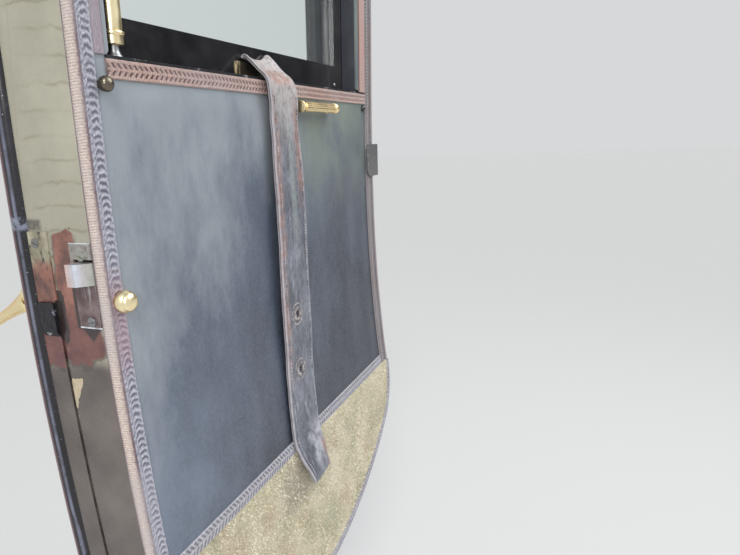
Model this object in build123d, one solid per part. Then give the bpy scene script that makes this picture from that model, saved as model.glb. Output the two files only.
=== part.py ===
from build123d import *
from math import asin, atan2, cos, degrees, radians, sin
import os

os.makedirs("parts", exist_ok=True)

# Millimetres. x is 0 at the hinge edge and -WIDE at the lock edge, y 0 is the leather face at the
# widest height with +y outward, z 0 is the eye level of the photo. All is moved to the mount at the end.
WIDE = 645.0
FOOT_Z, HEAD_Z = -608.0, 650.0
CORNER_R, SWEEP_R, SWEEP_X, END_R = 120.0, 700.0, -0.636 * WIDE, 12.0
CORNER_Z = FOOT_Z + SWEEP_R - ((SWEEP_R - CORNER_R) ** 2 - (SWEEP_X + CORNER_R) ** 2) ** 0.5

# The upright curve: a straight window part, a flat barrel and a tighter turn-under.
WIDEST_Z, BELT_Z = -130.0, 74.0
TURN_R, SIDE_R = 2800.0, 5500.0
LEAN = asin((BELT_Z - WIDEST_Z) / SIDE_R)

# Depths outward from the leather face.
PANEL_T, STEP, SKIN, SKIN_T = 3.0, 61.0, 88.0, 4.0
BEAD_R, BEAD_X, BEAD_Y = 10.0, 4.0 - WIDE, 90.6
STRIP_T = 1.5

# Window opening, and the sash that drops in a slot behind the inner panel.
STILE_LOCK, STILE_HINGE = 33.0, 68.0
WIN_X0, WIN_X1, WIN_Z0, WIN_Z1 = STILE_LOCK - WIDE, -STILE_HINGE, 76.0, 580.0
RAIL_H = 55.0
SASH_W, SASH_Y0, SASH_Y1, SASH_FOOT = 30.0, 26.0, 50.0, 56.0
SLOT_FOOT, GROOVE, RUN_T, REBATE = 20.0, 8.0, 3.0, 6.0
RAIL_TOP, GLASS_T, GLASS_Y, RING_W = 115.0, 4.0, 34.0, 10.0

# Trim on the inner side.
GIMP_T, GIMP_TOP, GIMP_LOW = 2.0, 73.3, 57.0
LOCK_GIMP, HINGE_GIMP, SILL_X0 = 15.0 - WIDE, -35.0, 28.0 - WIDE
CARPET_Z, CARPET_T, CARPET_GIMP, BINDING = -412.5, 3.5, 16.5, 9.0
TAPE_W, POST_STRIP = 9.5, (12.0, 24.0)
STRAP_X, STRAP_W, STRAP_T, STRAP_HOLES = -0.524 * WIDE, 72.0, 3.5, (-226.0, -304.0)

# Brass.
BAR_X0, BAR_L, BAR_Z, BAR_OUT, BAR_R = -0.461 * WIDE, 114.0, 45.0, 13.0, 6.4
ROD_X, ROD_R = WIN_X0 + 16.0, 8.4

# Lock and handle.
SPINDLE_X, SPINDLE_Z, SPINDLE_R = 9.0 - WIDE, -129.0, 4.0
BOLT_Z0, BOLT_Z1, BOLT_Y0, BOLT_Y1, BOLT_OUT = -113.0, -93.5, 11.5, 32.0, 12.0
PLATE_Y1, PLATE_Z0, PLATE_Z1, PLATE_T = 35.0, -152.5, -76.5, 2.0
ROSE_R, LEVER_Y, LEVER_SIDES = 8.8, 104.0, 14
WEAR_Z0, WEAR_Z1 = -129.0, -67.5

# Hinges, at rest with the door open a right angle.
AXIS_X, AXIS_Y, HINGE_ZS = 4.5, 99.0, (60.0, -170.0, -365.0)
LEAF_T, LEAF_H, LEAF_IN, BARREL_R, PIN_R = 3.0, 80.0, 25.0, 6.5, 4.0
LEAF_GAP, KNUCKLE, RUNNING = 1.5, 13.7, 0.05
HOLE_R, HOLES_X, HOLES_Z, HOLES_MID = 3.2, 40.0, 50.0, 52.0
ORIGIN = (HOLES_MID, AXIS_Y + LEAF_GAP + LEAF_T, HINGE_ZS[1])


def block(x0, x1, z0, z1):
    return Pos((x0 + x1) / 2, (z0 + z1) / 2) * Rectangle(x1 - x0, z1 - z0)


def course(off):
    """The upright curve off mm outward of the leather, foot to head."""

    def at(centre, a):
        r = centre + off
        return (r * cos(a) - centre, WIDEST_Z + r * sin(a))

    belt, straight = at(SIDE_R, LEAN), HEAD_Z - BELT_Z + 60
    foot = -asin((WIDEST_Z - FOOT_Z + 60) / TURN_R)
    return [
        ThreePointArc(at(TURN_R, foot), at(TURN_R, foot / 2), at(TURN_R, 0)),
        ThreePointArc(at(SIDE_R, 0), at(SIDE_R, LEAN / 2), belt),
        Line(belt, (belt[0] - straight * sin(LEAN), belt[1] + straight * cos(LEAN))),
    ]


def depth(off, z):
    """y of that curve at height z."""
    h = z - WIDEST_Z
    if h > (SIDE_R + off) * sin(LEAN):
        return (SIDE_R + off - h * sin(LEAN)) / cos(LEAN) - SIDE_R
    centre = SIDE_R if h > 0 else TURN_R
    return ((centre + off) ** 2 - h * h) ** 0.5 - centre


def layer(shape, inner, outer):
    """The part of an upright shape between two depths."""
    a, b = course(inner), course(outer)
    ends = [Line(a[0] @ 0, b[0] @ 0), Line(a[-1] @ 1, b[-1] @ 1)]
    band = extrude(Plane.YZ * make_face(a + b + ends), WIDE + 100, both=True)
    return band & extrude(Plane.XZ * shape, 400, both=True)


def outline():
    swing = -degrees(atan2(SWEEP_R + FOOT_Z - CORNER_Z, -CORNER_R - SWEEP_X))
    sweep = CenterArc((SWEEP_X, FOOT_Z + SWEEP_R), SWEEP_R, -90, 90 + swing)
    corner = CenterArc((-CORNER_R, CORNER_Z), CORNER_R, swing, -swing)
    rest = Polyline((0, CORNER_Z), (0, HEAD_Z), (-WIDE, HEAD_Z), (-WIDE, FOOT_Z), (SWEEP_X, FOOT_Z))
    face = make_face([sweep, corner] + list(rest.edges()))
    corners = face.vertices().filter_by(lambda v: v.X < 1 - WIDE or v.Y > HEAD_Z - 1)
    return fillet(corners, END_R)


def turned(*steps):
    """A turning about z from (height, radius) pairs."""
    line = Polyline((0, steps[0][0]), *[(r, h) for h, r in steps], (0, steps[-1][0]), close=True)
    return revolve(Plane.XZ * make_face(line), Axis.Z)


def inward(x, z, off):
    """A place on the inner face whose z axis points square out of it into the car."""
    centre = (SIDE_R if z > WIDEST_Z else TURN_R) + off
    a = min(asin((z - WIDEST_Z) / centre), LEAN)
    return Plane((x, depth(off, z), z), x_dir=(1, 0, 0), z_dir=(0, -cos(a), -sin(a))).location


parts = {}
full = outline()
window = block(WIN_X0, WIN_X1, WIN_Z0, WIN_Z1)
lower = full & block(-WIDE, 0, FOOT_Z, GIMP_TOP)
spindle_at = Pos(SPINDLE_X, 0, SPINDLE_Z) * Rot(-90, 0, 0)
spindle_hole = spindle_at * Cylinder(SPINDLE_R + 0.3, 400)
bearing = spindle_at * Cylinder(SPINDLE_R + RUNNING, 400)

# Timber frame. One cut through it takes the sash groove and the slot the glass drops in.
slot = layer(
    block(WIN_X0 - GROOVE, WIN_X1 + GROOVE, SLOT_FOOT, WIN_Z1 + GROOVE), SASH_Y0 - 0.5, SASH_Y1 + 0.5
)
bolt_x0, bolt_x1, bolt_z = -WIDE - BOLT_OUT, WIN_X0 - 4, (BOLT_Z0 + BOLT_Z1) / 2
bolt_h, bolt_w = BOLT_Z1 - BOLT_Z0, BOLT_Y1 - BOLT_Y0
mortise = Pos(0, (BOLT_Y0 + BOLT_Y1) / 2, bolt_z + 1.2) * Box(3 * WIDE, bolt_w + 0.6, bolt_h + 3)
mortise &= Pos(-WIDE, 0, 0) * Box(2 * STILE_LOCK + 20, WIDE, WIDE)
timber_y = (PANEL_T, SKIN - SKIN_T)
stile = layer(full & block(-WIDE, WIN_X0, FOOT_Z, HEAD_Z), *timber_y)
parts["lock_stile"] = stile - slot - spindle_hole - mortise
parts["hinge_stile"] = layer(full & block(WIN_X1, 0, FOOT_Z, HEAD_Z), *timber_y) - slot
parts["head_rail"] = layer(block(WIN_X0, WIN_X1, WIN_Z1, HEAD_Z), *timber_y) - slot
rail = (full - offset(full, -RAIL_H)) & block(WIN_X0, WIN_X1, FOOT_Z, CORNER_Z)
parts["bottom_rail"] = layer(rail, *timber_y)
waist_z = GIMP_TOP - RAIL_H - RING_W
parts["waist_rail_inner"] = layer(block(WIN_X0, WIN_X1, waist_z, GIMP_TOP), PANEL_T, SASH_Y0 - 0.5)
parts["waist_rail_outer"] = layer(block(WIN_X0, WIN_X1, waist_z, WIN_Z0), SASH_Y1 + 0.5, SKIN - SKIN_T)

# Outer side. The bead is a full round that laps the lock edge of the skin.
parts["outer_skin"] = layer(full - window, SKIN - SKIN_T, SKIN) - spindle_hole
line = Wire(course(0))
low, along = line @ 0, line % 0
foot = Plane(origin=(0, low.X, low.Y), x_dir=(1, 0, 0), z_dir=(0, along.X, along.Y))
nose = Pos(BEAD_X, BEAD_Y) * Circle(BEAD_R) - block(-WIDE, 0, 0, SKIN)
bead = sweep(foot * nose, Plane.YZ * line)
bead &= Pos(0, 0, (FOOT_Z + HEAD_Z) / 2) * Box(4 * WIDE, WIDE, HEAD_Z - FOOT_Z - 2 * END_R)
strip = layer(block(-WIDE - STRIP_T, -WIDE, FOOT_Z + END_R, WEAR_Z0), STEP, SKIN)
parts["lower_edge_strip"] = strip - bead
for name, z, r in (("belt_upper", 60.0, 7.0), ("belt_lower", -65.0, 6.0)):
    half = Pos(depth(SKIN, z), z) * (Circle(r) + Pos(-2, 0) * Rectangle(4, 2 * r))
    bar = Pos(-WIDE, 0, 0) * extrude(Plane.YZ * half, WIDE - 3)
    parts[name] = bar - layer(full, SKIN - 2 * r, SKIN) - bead
ring = block(WIN_X0 - RING_W, WIN_X1 + RING_W, WIN_Z0 - RING_W, WIN_Z1 + RING_W) - window
parts["window_bead"] = layer(ring, SKIN, SKIN + 4) - parts["belt_upper"]

# Glass in its sash, with a felt run at each side.
sash_x = (WIN_X0 - GROOVE + RUN_T, WIN_X1 + GROOVE - RUN_T)
sash = block(*sash_x, SASH_FOOT, WIN_Z1 + 5) - block(
    WIN_X0 + SASH_W, WIN_X1 - SASH_W, RAIL_TOP, WIN_Z1 - SASH_W
)
pane = block(WIN_X0 + SASH_W - REBATE, WIN_X1 - SASH_W + REBATE, RAIL_TOP - REBATE, WIN_Z1 - SASH_W + REBATE)
parts["window_glass"] = layer(pane, GLASS_Y, GLASS_Y + GLASS_T)
parts["sash_frame"] = layer(sash, SASH_Y0, SASH_Y1) - parts["window_glass"]
runs = {"lock": (WIN_X0 - GROOVE, sash_x[0]), "hinge": (sash_x[1], WIN_X1 + GROOVE)}
for side, (x0, x1) in runs.items():
    parts[f"felt_run_{side}"] = layer(block(x0, x1, SLOT_FOOT + 10, WIN_Z1 + 5), SASH_Y0, SASH_Y1)

# Inner trim: leather, covers round the window, sill, woven gimps, carpet and its binding.
trim_top = HEAD_Z - END_R
sill = layer(block(SILL_X0, HINGE_GIMP, GIMP_TOP, WIN_Z0), -1.5, PANEL_T) + layer(
    block(WIN_X0, WIN_X1, GIMP_TOP, WIN_Z0), PANEL_T, SASH_Y0 - 0.5
)
parts["sill_capping"] = sill
parts["leather_panel"] = layer(lower, 0, PANEL_T) - spindle_hole
covers = {
    "post_cover_lock": block(-WIDE, WIN_X0, GIMP_TOP, trim_top) - block(SILL_X0, 0, FOOT_Z, WIN_Z0),
    "post_cover_hinge": block(WIN_X1, 0, GIMP_TOP, trim_top) - block(-WIDE, HINGE_GIMP, FOOT_Z, WIN_Z0),
    "head_cover": block(WIN_X0, WIN_X1, WIN_Z1, trim_top),
}
for name, shape in covers.items():
    parts[name] = layer(full & shape, 0, PANEL_T)
gimps = {
    "lock_gimp": block(-WIDE, LOCK_GIMP, FOOT_Z + END_R, trim_top),
    "hinge_gimp": full & block(HINGE_GIMP, -2, CARPET_Z, trim_top),
    "top_gimp": block(SILL_X0, HINGE_GIMP, GIMP_LOW, GIMP_TOP),
    "carpet_gimp": block(LOCK_GIMP, HINGE_GIMP, CARPET_Z, CARPET_Z + CARPET_GIMP),
    "post_strip_lock": block(LOCK_GIMP, LOCK_GIMP + POST_STRIP[0], WIN_Z0, WIN_Z1),
    "post_strip_hinge": block(HINGE_GIMP - POST_STRIP[1], HINGE_GIMP, WIN_Z0, WIN_Z1),
}
for name, shape in gimps.items():
    parts[name] = layer(shape, -GIMP_T, 0)
parts["lock_gimp"] -= spindle_hole
rug = full & block(LOCK_GIMP, 0, FOOT_Z, CARPET_Z)
edge = rug - offset(full, -BINDING)
parts["bottom_binding"] = layer(edge, -CARPET_T - 1, 0)
parts["carpet"] = layer(rug - edge, -CARPET_T, 0)
tape = block(-WIDE - STRIP_T, -WIDE, FOOT_Z + END_R, trim_top)
parts["edge_tape"] = layer(tape, 0, TAPE_W)

# Lift strap: off the sash, over the sill, down the leather and curling out at its end.
root = depth(SASH_Y0, 108) - STRAP_T / 2
path = FilletPolyline(
    (root, 97), (root, 119), (-15, 74), (-11.8, -300), (-17, -398), (-38, -458), radius=[7, 24, 400, 60]
)
flat = Plane(origin=(0, root, 97), x_dir=(1, 0, 0), z_dir=(0, 0, 1))
strap = Pos(STRAP_X, 0, 0) * sweep(flat * Rectangle(STRAP_W, STRAP_T), Plane.YZ * Wire(path.edges()))
for z in STRAP_HOLES:
    strap -= Pos(STRAP_X - 2, 0, z) * Rot(90, 0, 0) * Cylinder(7, 80)
parts["lift_strap"] = strap
patch = block(STRAP_X - STRAP_W / 2 - 12, STRAP_X + STRAP_W / 4, WIN_Z0 + 2, 96)
parts["strap_plate"] = layer(patch, SASH_Y0 - 1.5, SASH_Y0)

# Brass on the inner side. The fluted bar stands on two feet between a bell and a cap.
flutes = Circle(BAR_R) - PolarLocations(BAR_R + 0.6, 10) * Circle(1.5)
along_bar = Pos(BAR_X0, 0, 0) * inward(0, BAR_Z, -BAR_OUT) * Rot(0, 90, 0)
bar = Pos(0, 0, 11) * extrude(flutes, BAR_L - 21)
bar = along_bar * (bar + turned((0, 8), (11, 6)) + Pos(0, 0, BAR_L - 10) * turned((0, 7.5), (10, 7.5)))
for x in (6, BAR_L - 5):
    bar += inward(BAR_X0 + x, BAR_Z, -0.02) * turned((0, 5), (BAR_OUT, 5))
parts["pull_bar"] = bar
rod_l = (WIN_Z1 - WIN_Z0) / cos(LEAN)
foot_of_rod = ((0, 7.2), (10.8, 4.3), (10.8, ROD_R + 0.3), (18.5, ROD_R + 0.3), (18.5, 9.6), (21.5, 9.6), (21.5, ROD_R))
head_of_rod = [(rod_l - h, r) for h, r in reversed(foot_of_rod)]
rod = Pos(ROD_X, depth(9, WIN_Z0), WIN_Z0) * Rot(degrees(LEAN), 0, 0) * turned(*foot_of_rod, *head_of_rod)
parts["blind_rod"] = rod - sill - parts["head_rail"]
stud = turned((0, 3), (3, 3), (5.2, 6.1), (9.6, 6.1), (12.2, 3))
parts["ball_stud"] = inward(19 - WIDE, 52, -0.02) * stud - parts["lock_gimp"]
parts["black_stud"] = inward(HINGE_GIMP - 8, 50, -0.02) * turned((0, 5), (5, 5))
knob_face = inward(SPINDLE_X, SPINDLE_Z, -GIMP_T - 1)
parts["knob_rose"] = inward(SPINDLE_X, SPINDLE_Z, -GIMP_T - 0.02) * turned((0, 7), (0.8, 7)) - bearing
parts["inner_knob"] = knob_face * turned((0, 6.2), (3.5, 9.8), (8.5, 9.8), (11.3, 7.6), (14.5, 8.8))

# Spindle, the boss it leaves the skin by, and the swelling drop handle with filed flats.
y0 = depth(-GIMP_T - 1, SPINDLE_Z)
parts["spindle"] = Pos(0, y0, 0) * spindle_at * turned((0, SPINDLE_R), (LEVER_Y - y0, SPINDLE_R))
rose = Pos(0, depth(SKIN, SPINDLE_Z), 0) * spindle_at * turned((0, ROSE_R), (LEVER_Y - SKIN - 0.3, ROSE_R))
parts["handle_rose"] = rose - bearing
parts["lock_edge_bead"] = bead - spindle_at * Cylinder(ROSE_R, 400)
rounds = [  # out from the boss, below the spindle, slope down, radius
    (2.5, 3, 12, 8.2), (9, 8.2, 27, 8.6), (27, 17.5, 27, 5.9), (48, 28.2, 29, 4.8), (66, 39, 40, 4.5),
    (76, 50, 65, 4.7), (79, 66, 88, 5.4), (79, 92, 90, 7.2), (79, 110, 90, 6.2), (79, 115, 90, 3.5),
]
arm = loft([
    Plane((0, out, -down), x_dir=(1, 0, 0), z_dir=(0, cos(radians(a)), -sin(radians(a))))
    * RegularPolygon(r, LEVER_SIDES)
    for out, down, a, r in rounds
], ruled=True)
boss = Rot(-90, 0, 0) * turned((0, 7.5), (5, 7.5))
parts["outer_lever"] = Pos(SPINDLE_X, LEVER_Y, SPINDLE_Z) * (arm + boss)

# Shut face.
plate_y = (TAPE_W + 1.8, PLATE_Y1)
plate = Pos(-WIDE - PLATE_T / 2, sum(plate_y) / 2, (PLATE_Z0 + PLATE_Z1) / 2) * Box(
    PLATE_T, plate_y[1] - plate_y[0], PLATE_Z1 - PLATE_Z0
)
parts["lock_plate"] = plate - mortise
tongue = Polyline(
    (bolt_x1, BOLT_Y0), (-WIDE - 2, BOLT_Y0), (bolt_x0, BOLT_Y0 + 0.56 * bolt_w), (bolt_x0, BOLT_Y1),
    (bolt_x1, BOLT_Y1), close=True,
)
parts["lock_bolt"] = Pos(0, 0, BOLT_Z0) * extrude(make_face(tongue), bolt_h)
for i, z in enumerate((PLATE_Z1 - 5, PLATE_Z0 + 6), 1):
    head = turned((0, 4.5), (1.5, 4.5))
    parts[f"lock_screw_{i}"] = Pos(-WIDE - PLATE_T, 21, z) * Rot(0, -90, 0) * head
on_strip = -WIDE - STRIP_T
wear = layer(block(on_strip, -WIDE, WEAR_Z0, WEAR_Z1), STEP - 1.5, SKIN - SKIN_T)
parts["wear_plate"] = wear - bead
casting = extrude(Plane.YZ * Pos(STEP + 9, (2 * WEAR_Z0 - 36) / 2) * Rectangle(18, 32), -3.5)
lump = chamfer(casting.edges().filter_by_position(Axis.X, -3.6, -3.4).group_by(Axis.Z)[0], 3, 5)
parts["dovetail"] = Pos(on_strip, 0, 0) * lump
keeper = Polyline((-26, 27.5), (16, 27.5), (16, -27.5), (-26, -27.5), (-36, -17), (-36, 17), close=True)
parts["keeper_plate"] = inward(0, -37.5, 0) * extrude(make_face(keeper), 5) - layer(
    block(-40, 20, -90, 20), -GIMP_T, 9
)

# Hinges: two door knuckles round one pillar knuckle.
for i, z in enumerate(HINGE_ZS, 1):
    at = Pos(AXIS_X, AXIS_Y, z)
    ends = [Pos(0, 0, s * (LEAF_H / 2 + KNUCKLE + 0.3) / 2) for s in (-1, 1)]
    end_h = LEAF_H / 2 - KNUCKLE - 0.3
    leaf_l, h = AXIS_Y - LEAF_IN, LEAF_H / 2
    door = Pos(LEAF_T / 2 - AXIS_X, -leaf_l / 2, 0) * Box(LEAF_T, leaf_l, LEAF_H)
    door -= Box(2 * BARREL_R + 1, 2 * BARREL_R + 1, 2 * KNUCKLE + 0.6)
    for end in ends:
        door += end * Cylinder(BARREL_R, end_h)
    parts[f"door_leaf_{i}"] = at * (door - Cylinder(PIN_R, 200))
    pillar = Pos(leaf_l / 2, LEAF_GAP + LEAF_T / 2, 0) * Box(leaf_l, LEAF_T, LEAF_H)
    for end in ends:
        pillar -= end * Box(2 * BARREL_R + 1, 2 * BARREL_R + 1, end_h + 1)
    pillar += Cylinder(BARREL_R, 2 * KNUCKLE)
    pillar -= Cylinder(PIN_R + RUNNING, 200)
    for spot in GridLocations(HOLES_X, HOLES_Z, 2, 2):
        pillar -= Pos(HOLES_MID - AXIS_X, 0, 0) * Rot(90, 0, 0) * spot * Cylinder(HOLE_R, 40)
    parts[f"pillar_leaf_{i}"] = at * pillar
    parts[f"hinge_pin_{i}"] = at * turned((-h - 2, PIN_R), (h, PIN_R), (h, 5.5), (h + 5, 5.5))

for name, solid in parts.items():
    solid = Pos(*(-v for v in ORIGIN)) * solid
    print(name, len(solid.solids()), round(solid.volume))
    export_step(solid, f"parts/{name}.step")
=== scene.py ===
import math
import random

import bmesh
import bpy
from mathutils import Matrix, Vector, noise
from mathutils.kdtree import KDTree


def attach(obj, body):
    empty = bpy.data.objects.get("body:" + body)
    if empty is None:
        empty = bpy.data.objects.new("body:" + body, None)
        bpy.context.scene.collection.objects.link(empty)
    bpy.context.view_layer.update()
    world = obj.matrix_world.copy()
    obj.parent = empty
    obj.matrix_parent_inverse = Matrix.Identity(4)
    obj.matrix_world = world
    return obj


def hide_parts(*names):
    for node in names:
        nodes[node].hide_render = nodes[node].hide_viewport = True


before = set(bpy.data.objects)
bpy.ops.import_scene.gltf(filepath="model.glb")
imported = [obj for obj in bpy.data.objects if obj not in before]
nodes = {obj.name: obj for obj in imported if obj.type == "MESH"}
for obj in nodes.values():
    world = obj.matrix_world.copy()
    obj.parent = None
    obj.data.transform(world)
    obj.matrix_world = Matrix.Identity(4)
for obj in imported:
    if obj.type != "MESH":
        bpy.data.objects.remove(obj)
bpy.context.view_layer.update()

scene = bpy.context.scene
rnd = random.Random(11)

# Door millimetres: x from the hinge edge, y outward from the leather, z up from the camera's height.
ORIGIN = Vector((52.0, 103.5, -170.0))
WIDE, FOOT_Z, TRIM_TOP = 645.0, -608.0, 638.0
WIDEST, BELT, TURN_R, SIDE_R = -130.0, 74.0, 2800.0, 5500.0
LEAN = math.asin((BELT - WIDEST) / SIDE_R)
MID_OFF = 40.0
CORNER_R, SWEEP_R, SWEEP_X = 120.0, 700.0, -0.636 * WIDE
CORNER_Z = FOOT_Z + SWEEP_R - math.sqrt((SWEEP_R - CORNER_R) ** 2 - (SWEEP_X + CORNER_R) ** 2)
SWING = math.atan2(SWEEP_R + FOOT_Z - CORNER_Z, -CORNER_R - SWEEP_X)
WIN_X0, WIN_X1, WIN_Z0, WIN_Z1 = -612.0, -68.0, 76.0, 580.0
GIMP_LOW, GIMP_TOP, LOCK_GIMP, HINGE_GIMP, SILL_X0 = 57.0, 73.3, -630.0, -35.0, -617.0
CARPET_Z, CARPET_GIMP, BINDING = -412.5, 16.5, 9.0
TRIM_FOOT = FOOT_Z + 12
KNOB = (-636.0, -129.0)

# Bounds of a zone of colour that has no edge of its own on that side.
BELOW, ABOVE, PAST_LOCK, PAST_HINGE = -1170.0, 830.0, -948.0, 1052.0


def at(x, y, z):
    return (Vector((x, y, z)) - ORIGIN) / 1000


def row_x(x):
    return (x - ORIGIN.x) / 1000


def row_y(y):
    return (y - ORIGIN.y) / 1000


def row_z(z):
    return (z - ORIGIN.z) / 1000


def depth(off, z):
    """y of the curved layer off mm outward of the leather at height z."""
    h = z - WIDEST
    if h > (SIDE_R + off) * math.sin(LEAN):
        return (SIDE_R + off - h * math.sin(LEAN)) / math.cos(LEAN) - SIDE_R
    centre = SIDE_R if h > 0 else TURN_R
    return math.sqrt((centre + off) ** 2 - h * h) - centre


def hinge_side(z, inset=0.0):
    """x of the swept hinge edge at height z."""
    if z >= CORNER_Z:
        return -inset
    if z > CORNER_Z - (CORNER_R - inset) * math.sin(SWING):
        return -CORNER_R + math.sqrt((CORNER_R - inset) ** 2 - (z - CORNER_Z) ** 2)
    return SWEEP_X + math.sqrt(max(0.0, (SWEEP_R - inset) ** 2 - (z - FOOT_Z - SWEEP_R) ** 2))


def clamp(x):
    return min(1.0, max(0.0, x))


def ease(x, a, b):
    """0 below a, 1 above b and smooth between."""
    t = clamp((x - a) / (b - a))
    return t * t * (3 - 2 * t)


def pulse(x, low, high, soft):
    """1 between low and high, fading over soft."""
    return ease(x, low - soft, low + soft) * (1 - ease(x, high - soft, high + soft))


def ripple(turns):
    return 0.5 + 0.5 * math.cos(2 * math.pi * turns)


def grain(a, b, c):
    return noise.noise(Vector((a, b, c)))


def fuzz(x, y, scale, strength):
    return strength * grain(x / scale, y / scale, 3.7)


# Camera, as worked out from the photograph.
SENSOR, PHOTO_WIDE, FOCAL_PIXELS = 36.0, 740, 598
cam_data = bpy.data.cameras.new("camera")
cam_data.sensor_width, cam_data.lens = SENSOR, SENSOR * FOCAL_PIXELS / PHOTO_WIDE
cam_data.clip_start, cam_data.clip_end = 0.01, 50
cam = bpy.data.objects.new("camera", cam_data)
scene.collection.objects.link(cam)
right, up, back = (0.3562, -0.9334, -0.0409), (0.2257, 0.0435, 0.9733), (-0.9065, -0.3559, 0.2263)
turn = Matrix((right, up, back)).transposed().to_4x4()
cam.matrix_world = Matrix.Translation(at(-1025.5, -390, 0)) @ turn
scene.camera = cam


class Nodes:
    """A node tree, with short ways to make nodes and to reckon with what they give."""

    def __init__(self, tree):
        self.t = tree

    def feed(self, socket, value):
        """Sets socket to a number, colour or vector, or links another node's output to it."""
        if isinstance(value, bpy.types.NodeSocket):
            self.t.links.new(value, socket)
        else:
            socket.default_value = (*value, 1) if socket.type == "RGBA" else value

    def new(self, kind, sockets, **settings):
        node = self.t.nodes.new(kind)
        for key, value in settings.items():
            setattr(node, key, value)
        for key, value in sockets.items():
            self.feed(node.inputs[key], value)
        return node

    def math(self, operation, *values):
        return self.new("ShaderNodeMath", dict(enumerate(values)), operation=operation).outputs[0]

    def join(self, operation, first, *others):
        for value in others:
            first = self.math(operation, first, value)
        return first

    def times(self, *values):
        return self.join("MULTIPLY", *values)

    def plus(self, *values):
        return self.join("ADD", *values)

    def most(self, *values):
        return self.join("MAXIMUM", *values)

    def span(self, value, low, high, before, after, curve="SMOOTHSTEP"):
        """Goes from before to after as value goes from low to high."""
        numbers = dict(enumerate((value, low, high, before, after)))
        return self.new("ShaderNodeMapRange", numbers, interpolation_type=curve).outputs[0]


class Mat(Nodes):
    """A principled material built up from procedural layers. Woven pieces carry their own coordinates in the
    attribute weave: metres along, share across from -1 to 1, and height of the thread from 0 to 1."""

    def __init__(self, name, colour, rough, metal=0.0, woven=False, **sockets):
        self.m = bpy.data.materials.new(name)
        self.m.use_nodes = True
        super().__init__(self.m.node_tree)
        self.b = self.t.nodes["Principled BSDF"]
        for key, value in {"Base_Color": colour, "Roughness": rough, "Metallic": metal, **sockets}.items():
            self.feed(self.b.inputs[key.replace("_", " ")], value)
        self.space = self.new("ShaderNodeTexCoord", {}).outputs["Object"]
        if woven:
            self.weave = self.new("ShaderNodeAttribute", {}, attribute_name="weave").outputs["Vector"]
        self.base = self.normal = None

    def swing(self, source, reach):
        """Moves about 0 by up to half of reach as source goes from 0 to 1."""
        return self.times(self.math("SUBTRACT", source, 0.5), reach)

    def axis(self, i, source=None):
        return self.new("ShaderNodeSeparateXYZ", {0: source or self.space}).outputs[i]

    def stretch(self, scale, turn=(0, 0, 0)):
        sockets = {"Vector": self.space, "Scale": scale, "Rotation": turn}
        return self.new("ShaderNodeMapping", sockets).outputs[0]

    def noise(self, scale, detail=4.0, rough=0.55, where=None):
        sockets = {"Vector": where or self.space, "Scale": scale, "Detail": detail, "Roughness": rough}
        return self.new("ShaderNodeTexNoise", sockets).outputs["Fac"]

    def pebbles(self, scale):
        sockets = {"Vector": self.space, "Scale": scale}
        return self.new("ShaderNodeTexVoronoi", sockets, feature="DISTANCE_TO_EDGE").outputs["Distance"]

    def ramp(self, fac, *stops):
        """Values or colours at positions along fac."""
        node = self.new("ShaderNodeValToRGB", {0: fac})
        while len(node.color_ramp.elements) < len(stops):
            node.color_ramp.elements.new(0.5)
        for e, (p, c) in zip(node.color_ramp.elements, stops):
            e.position = p
            e.color = (c, c, c, 1) if isinstance(c, (int, float)) else (*c, 1)
        return node.outputs[0]

    def patches(self, scale, detail, low, high, rough=0.55, where=None, bottom=0.0, top=1.0):
        """Noise that stays at bottom below low and at top above high."""
        return self.ramp(self.noise(scale, detail, rough, where), (low, bottom), (high, top))

    def band(self, value, low, high, soft):
        """1 where value lies between low and high, fading over soft."""
        rise = self.span(value, low - soft, low + soft, 0, 1)
        return self.times(rise, self.span(value, high - soft, high + soft, 1, 0))

    def heights(self, low, high, soft, source=None):
        """1 between two heights in door millimetres, fading over soft metres."""
        return self.band(source or self.axis(2), row_z(low), row_z(high), soft)

    def widths(self, low, high, soft):
        return self.band(self.axis(0), row_x(low), row_x(high), soft)

    def inward(self):
        """Metres outward of the leather's curved face at any height, truest about MID_OFF mm out."""
        h = self.math("SUBTRACT", self.axis(2), row_z(WIDEST))
        low, high = self.math("MINIMUM", h, 0.0), self.math("MAXIMUM", h, 0.0)
        low = self.math("DIVIDE", self.times(low, low), 0.002 * (TURN_R + MID_OFF))
        high = self.math("DIVIDE", self.times(high, high), 0.002 * (SIDE_R + MID_OFF))
        return self.plus(self.math("SUBTRACT", self.axis(1), row_y(0)), self.plus(low, high))

    def blotch(self, mask, scale, reach, detail=5.0):
        """A patch with a crisp ragged edge, and its dark outline, from a soft mask."""
        level = self.plus(mask, self.swing(self.noise(scale, detail, 0.6), reach))
        outline = self.ramp(level, (0.28, 0.0), (0.38, 1.0), (0.49, 1.0), (0.53, 0.0))
        return self.ramp(level, (0.49, 0.0), (0.53, 1.0)), outline

    def mix(self, fac, a, b):
        return self.new("ShaderNodeMix", {0: fac, 6: a, 7: b}, data_type="RGBA").outputs[2]

    def mottle(self, a, b, *patches, **ends):
        """Colour a, with b in its patches."""
        return self.mix(self.patches(*patches, **ends), a, b)

    def colour(self, source):
        self.base = source
        self.feed(self.b.inputs["Base Color"], source)

    def layer(self, colour, *masks):
        """Lays colour over the colours so far, as far as the product of the masks lets it show."""
        self.colour(self.mix(self.times(*masks), self.base, colour))

    def rough(self, *patches, **ends):
        """Roughness that changes in patches."""
        self.feed(self.b.inputs["Roughness"], self.patches(*patches, **ends))

    def bump(self, height, strength, distance):
        under = {"Normal": self.normal} if self.normal else {}
        sockets = {"Height": height, "Strength": strength, "Distance": distance, **under}
        self.normal = self.new("ShaderNodeBump", sockets).outputs[0]
        self.feed(self.b.inputs["Normal"], self.normal)
        return self

    def on(self, *names):
        for n in names:
            data = nodes[n].data
            data.materials.clear()
            data.materials.append(self.m)


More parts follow.
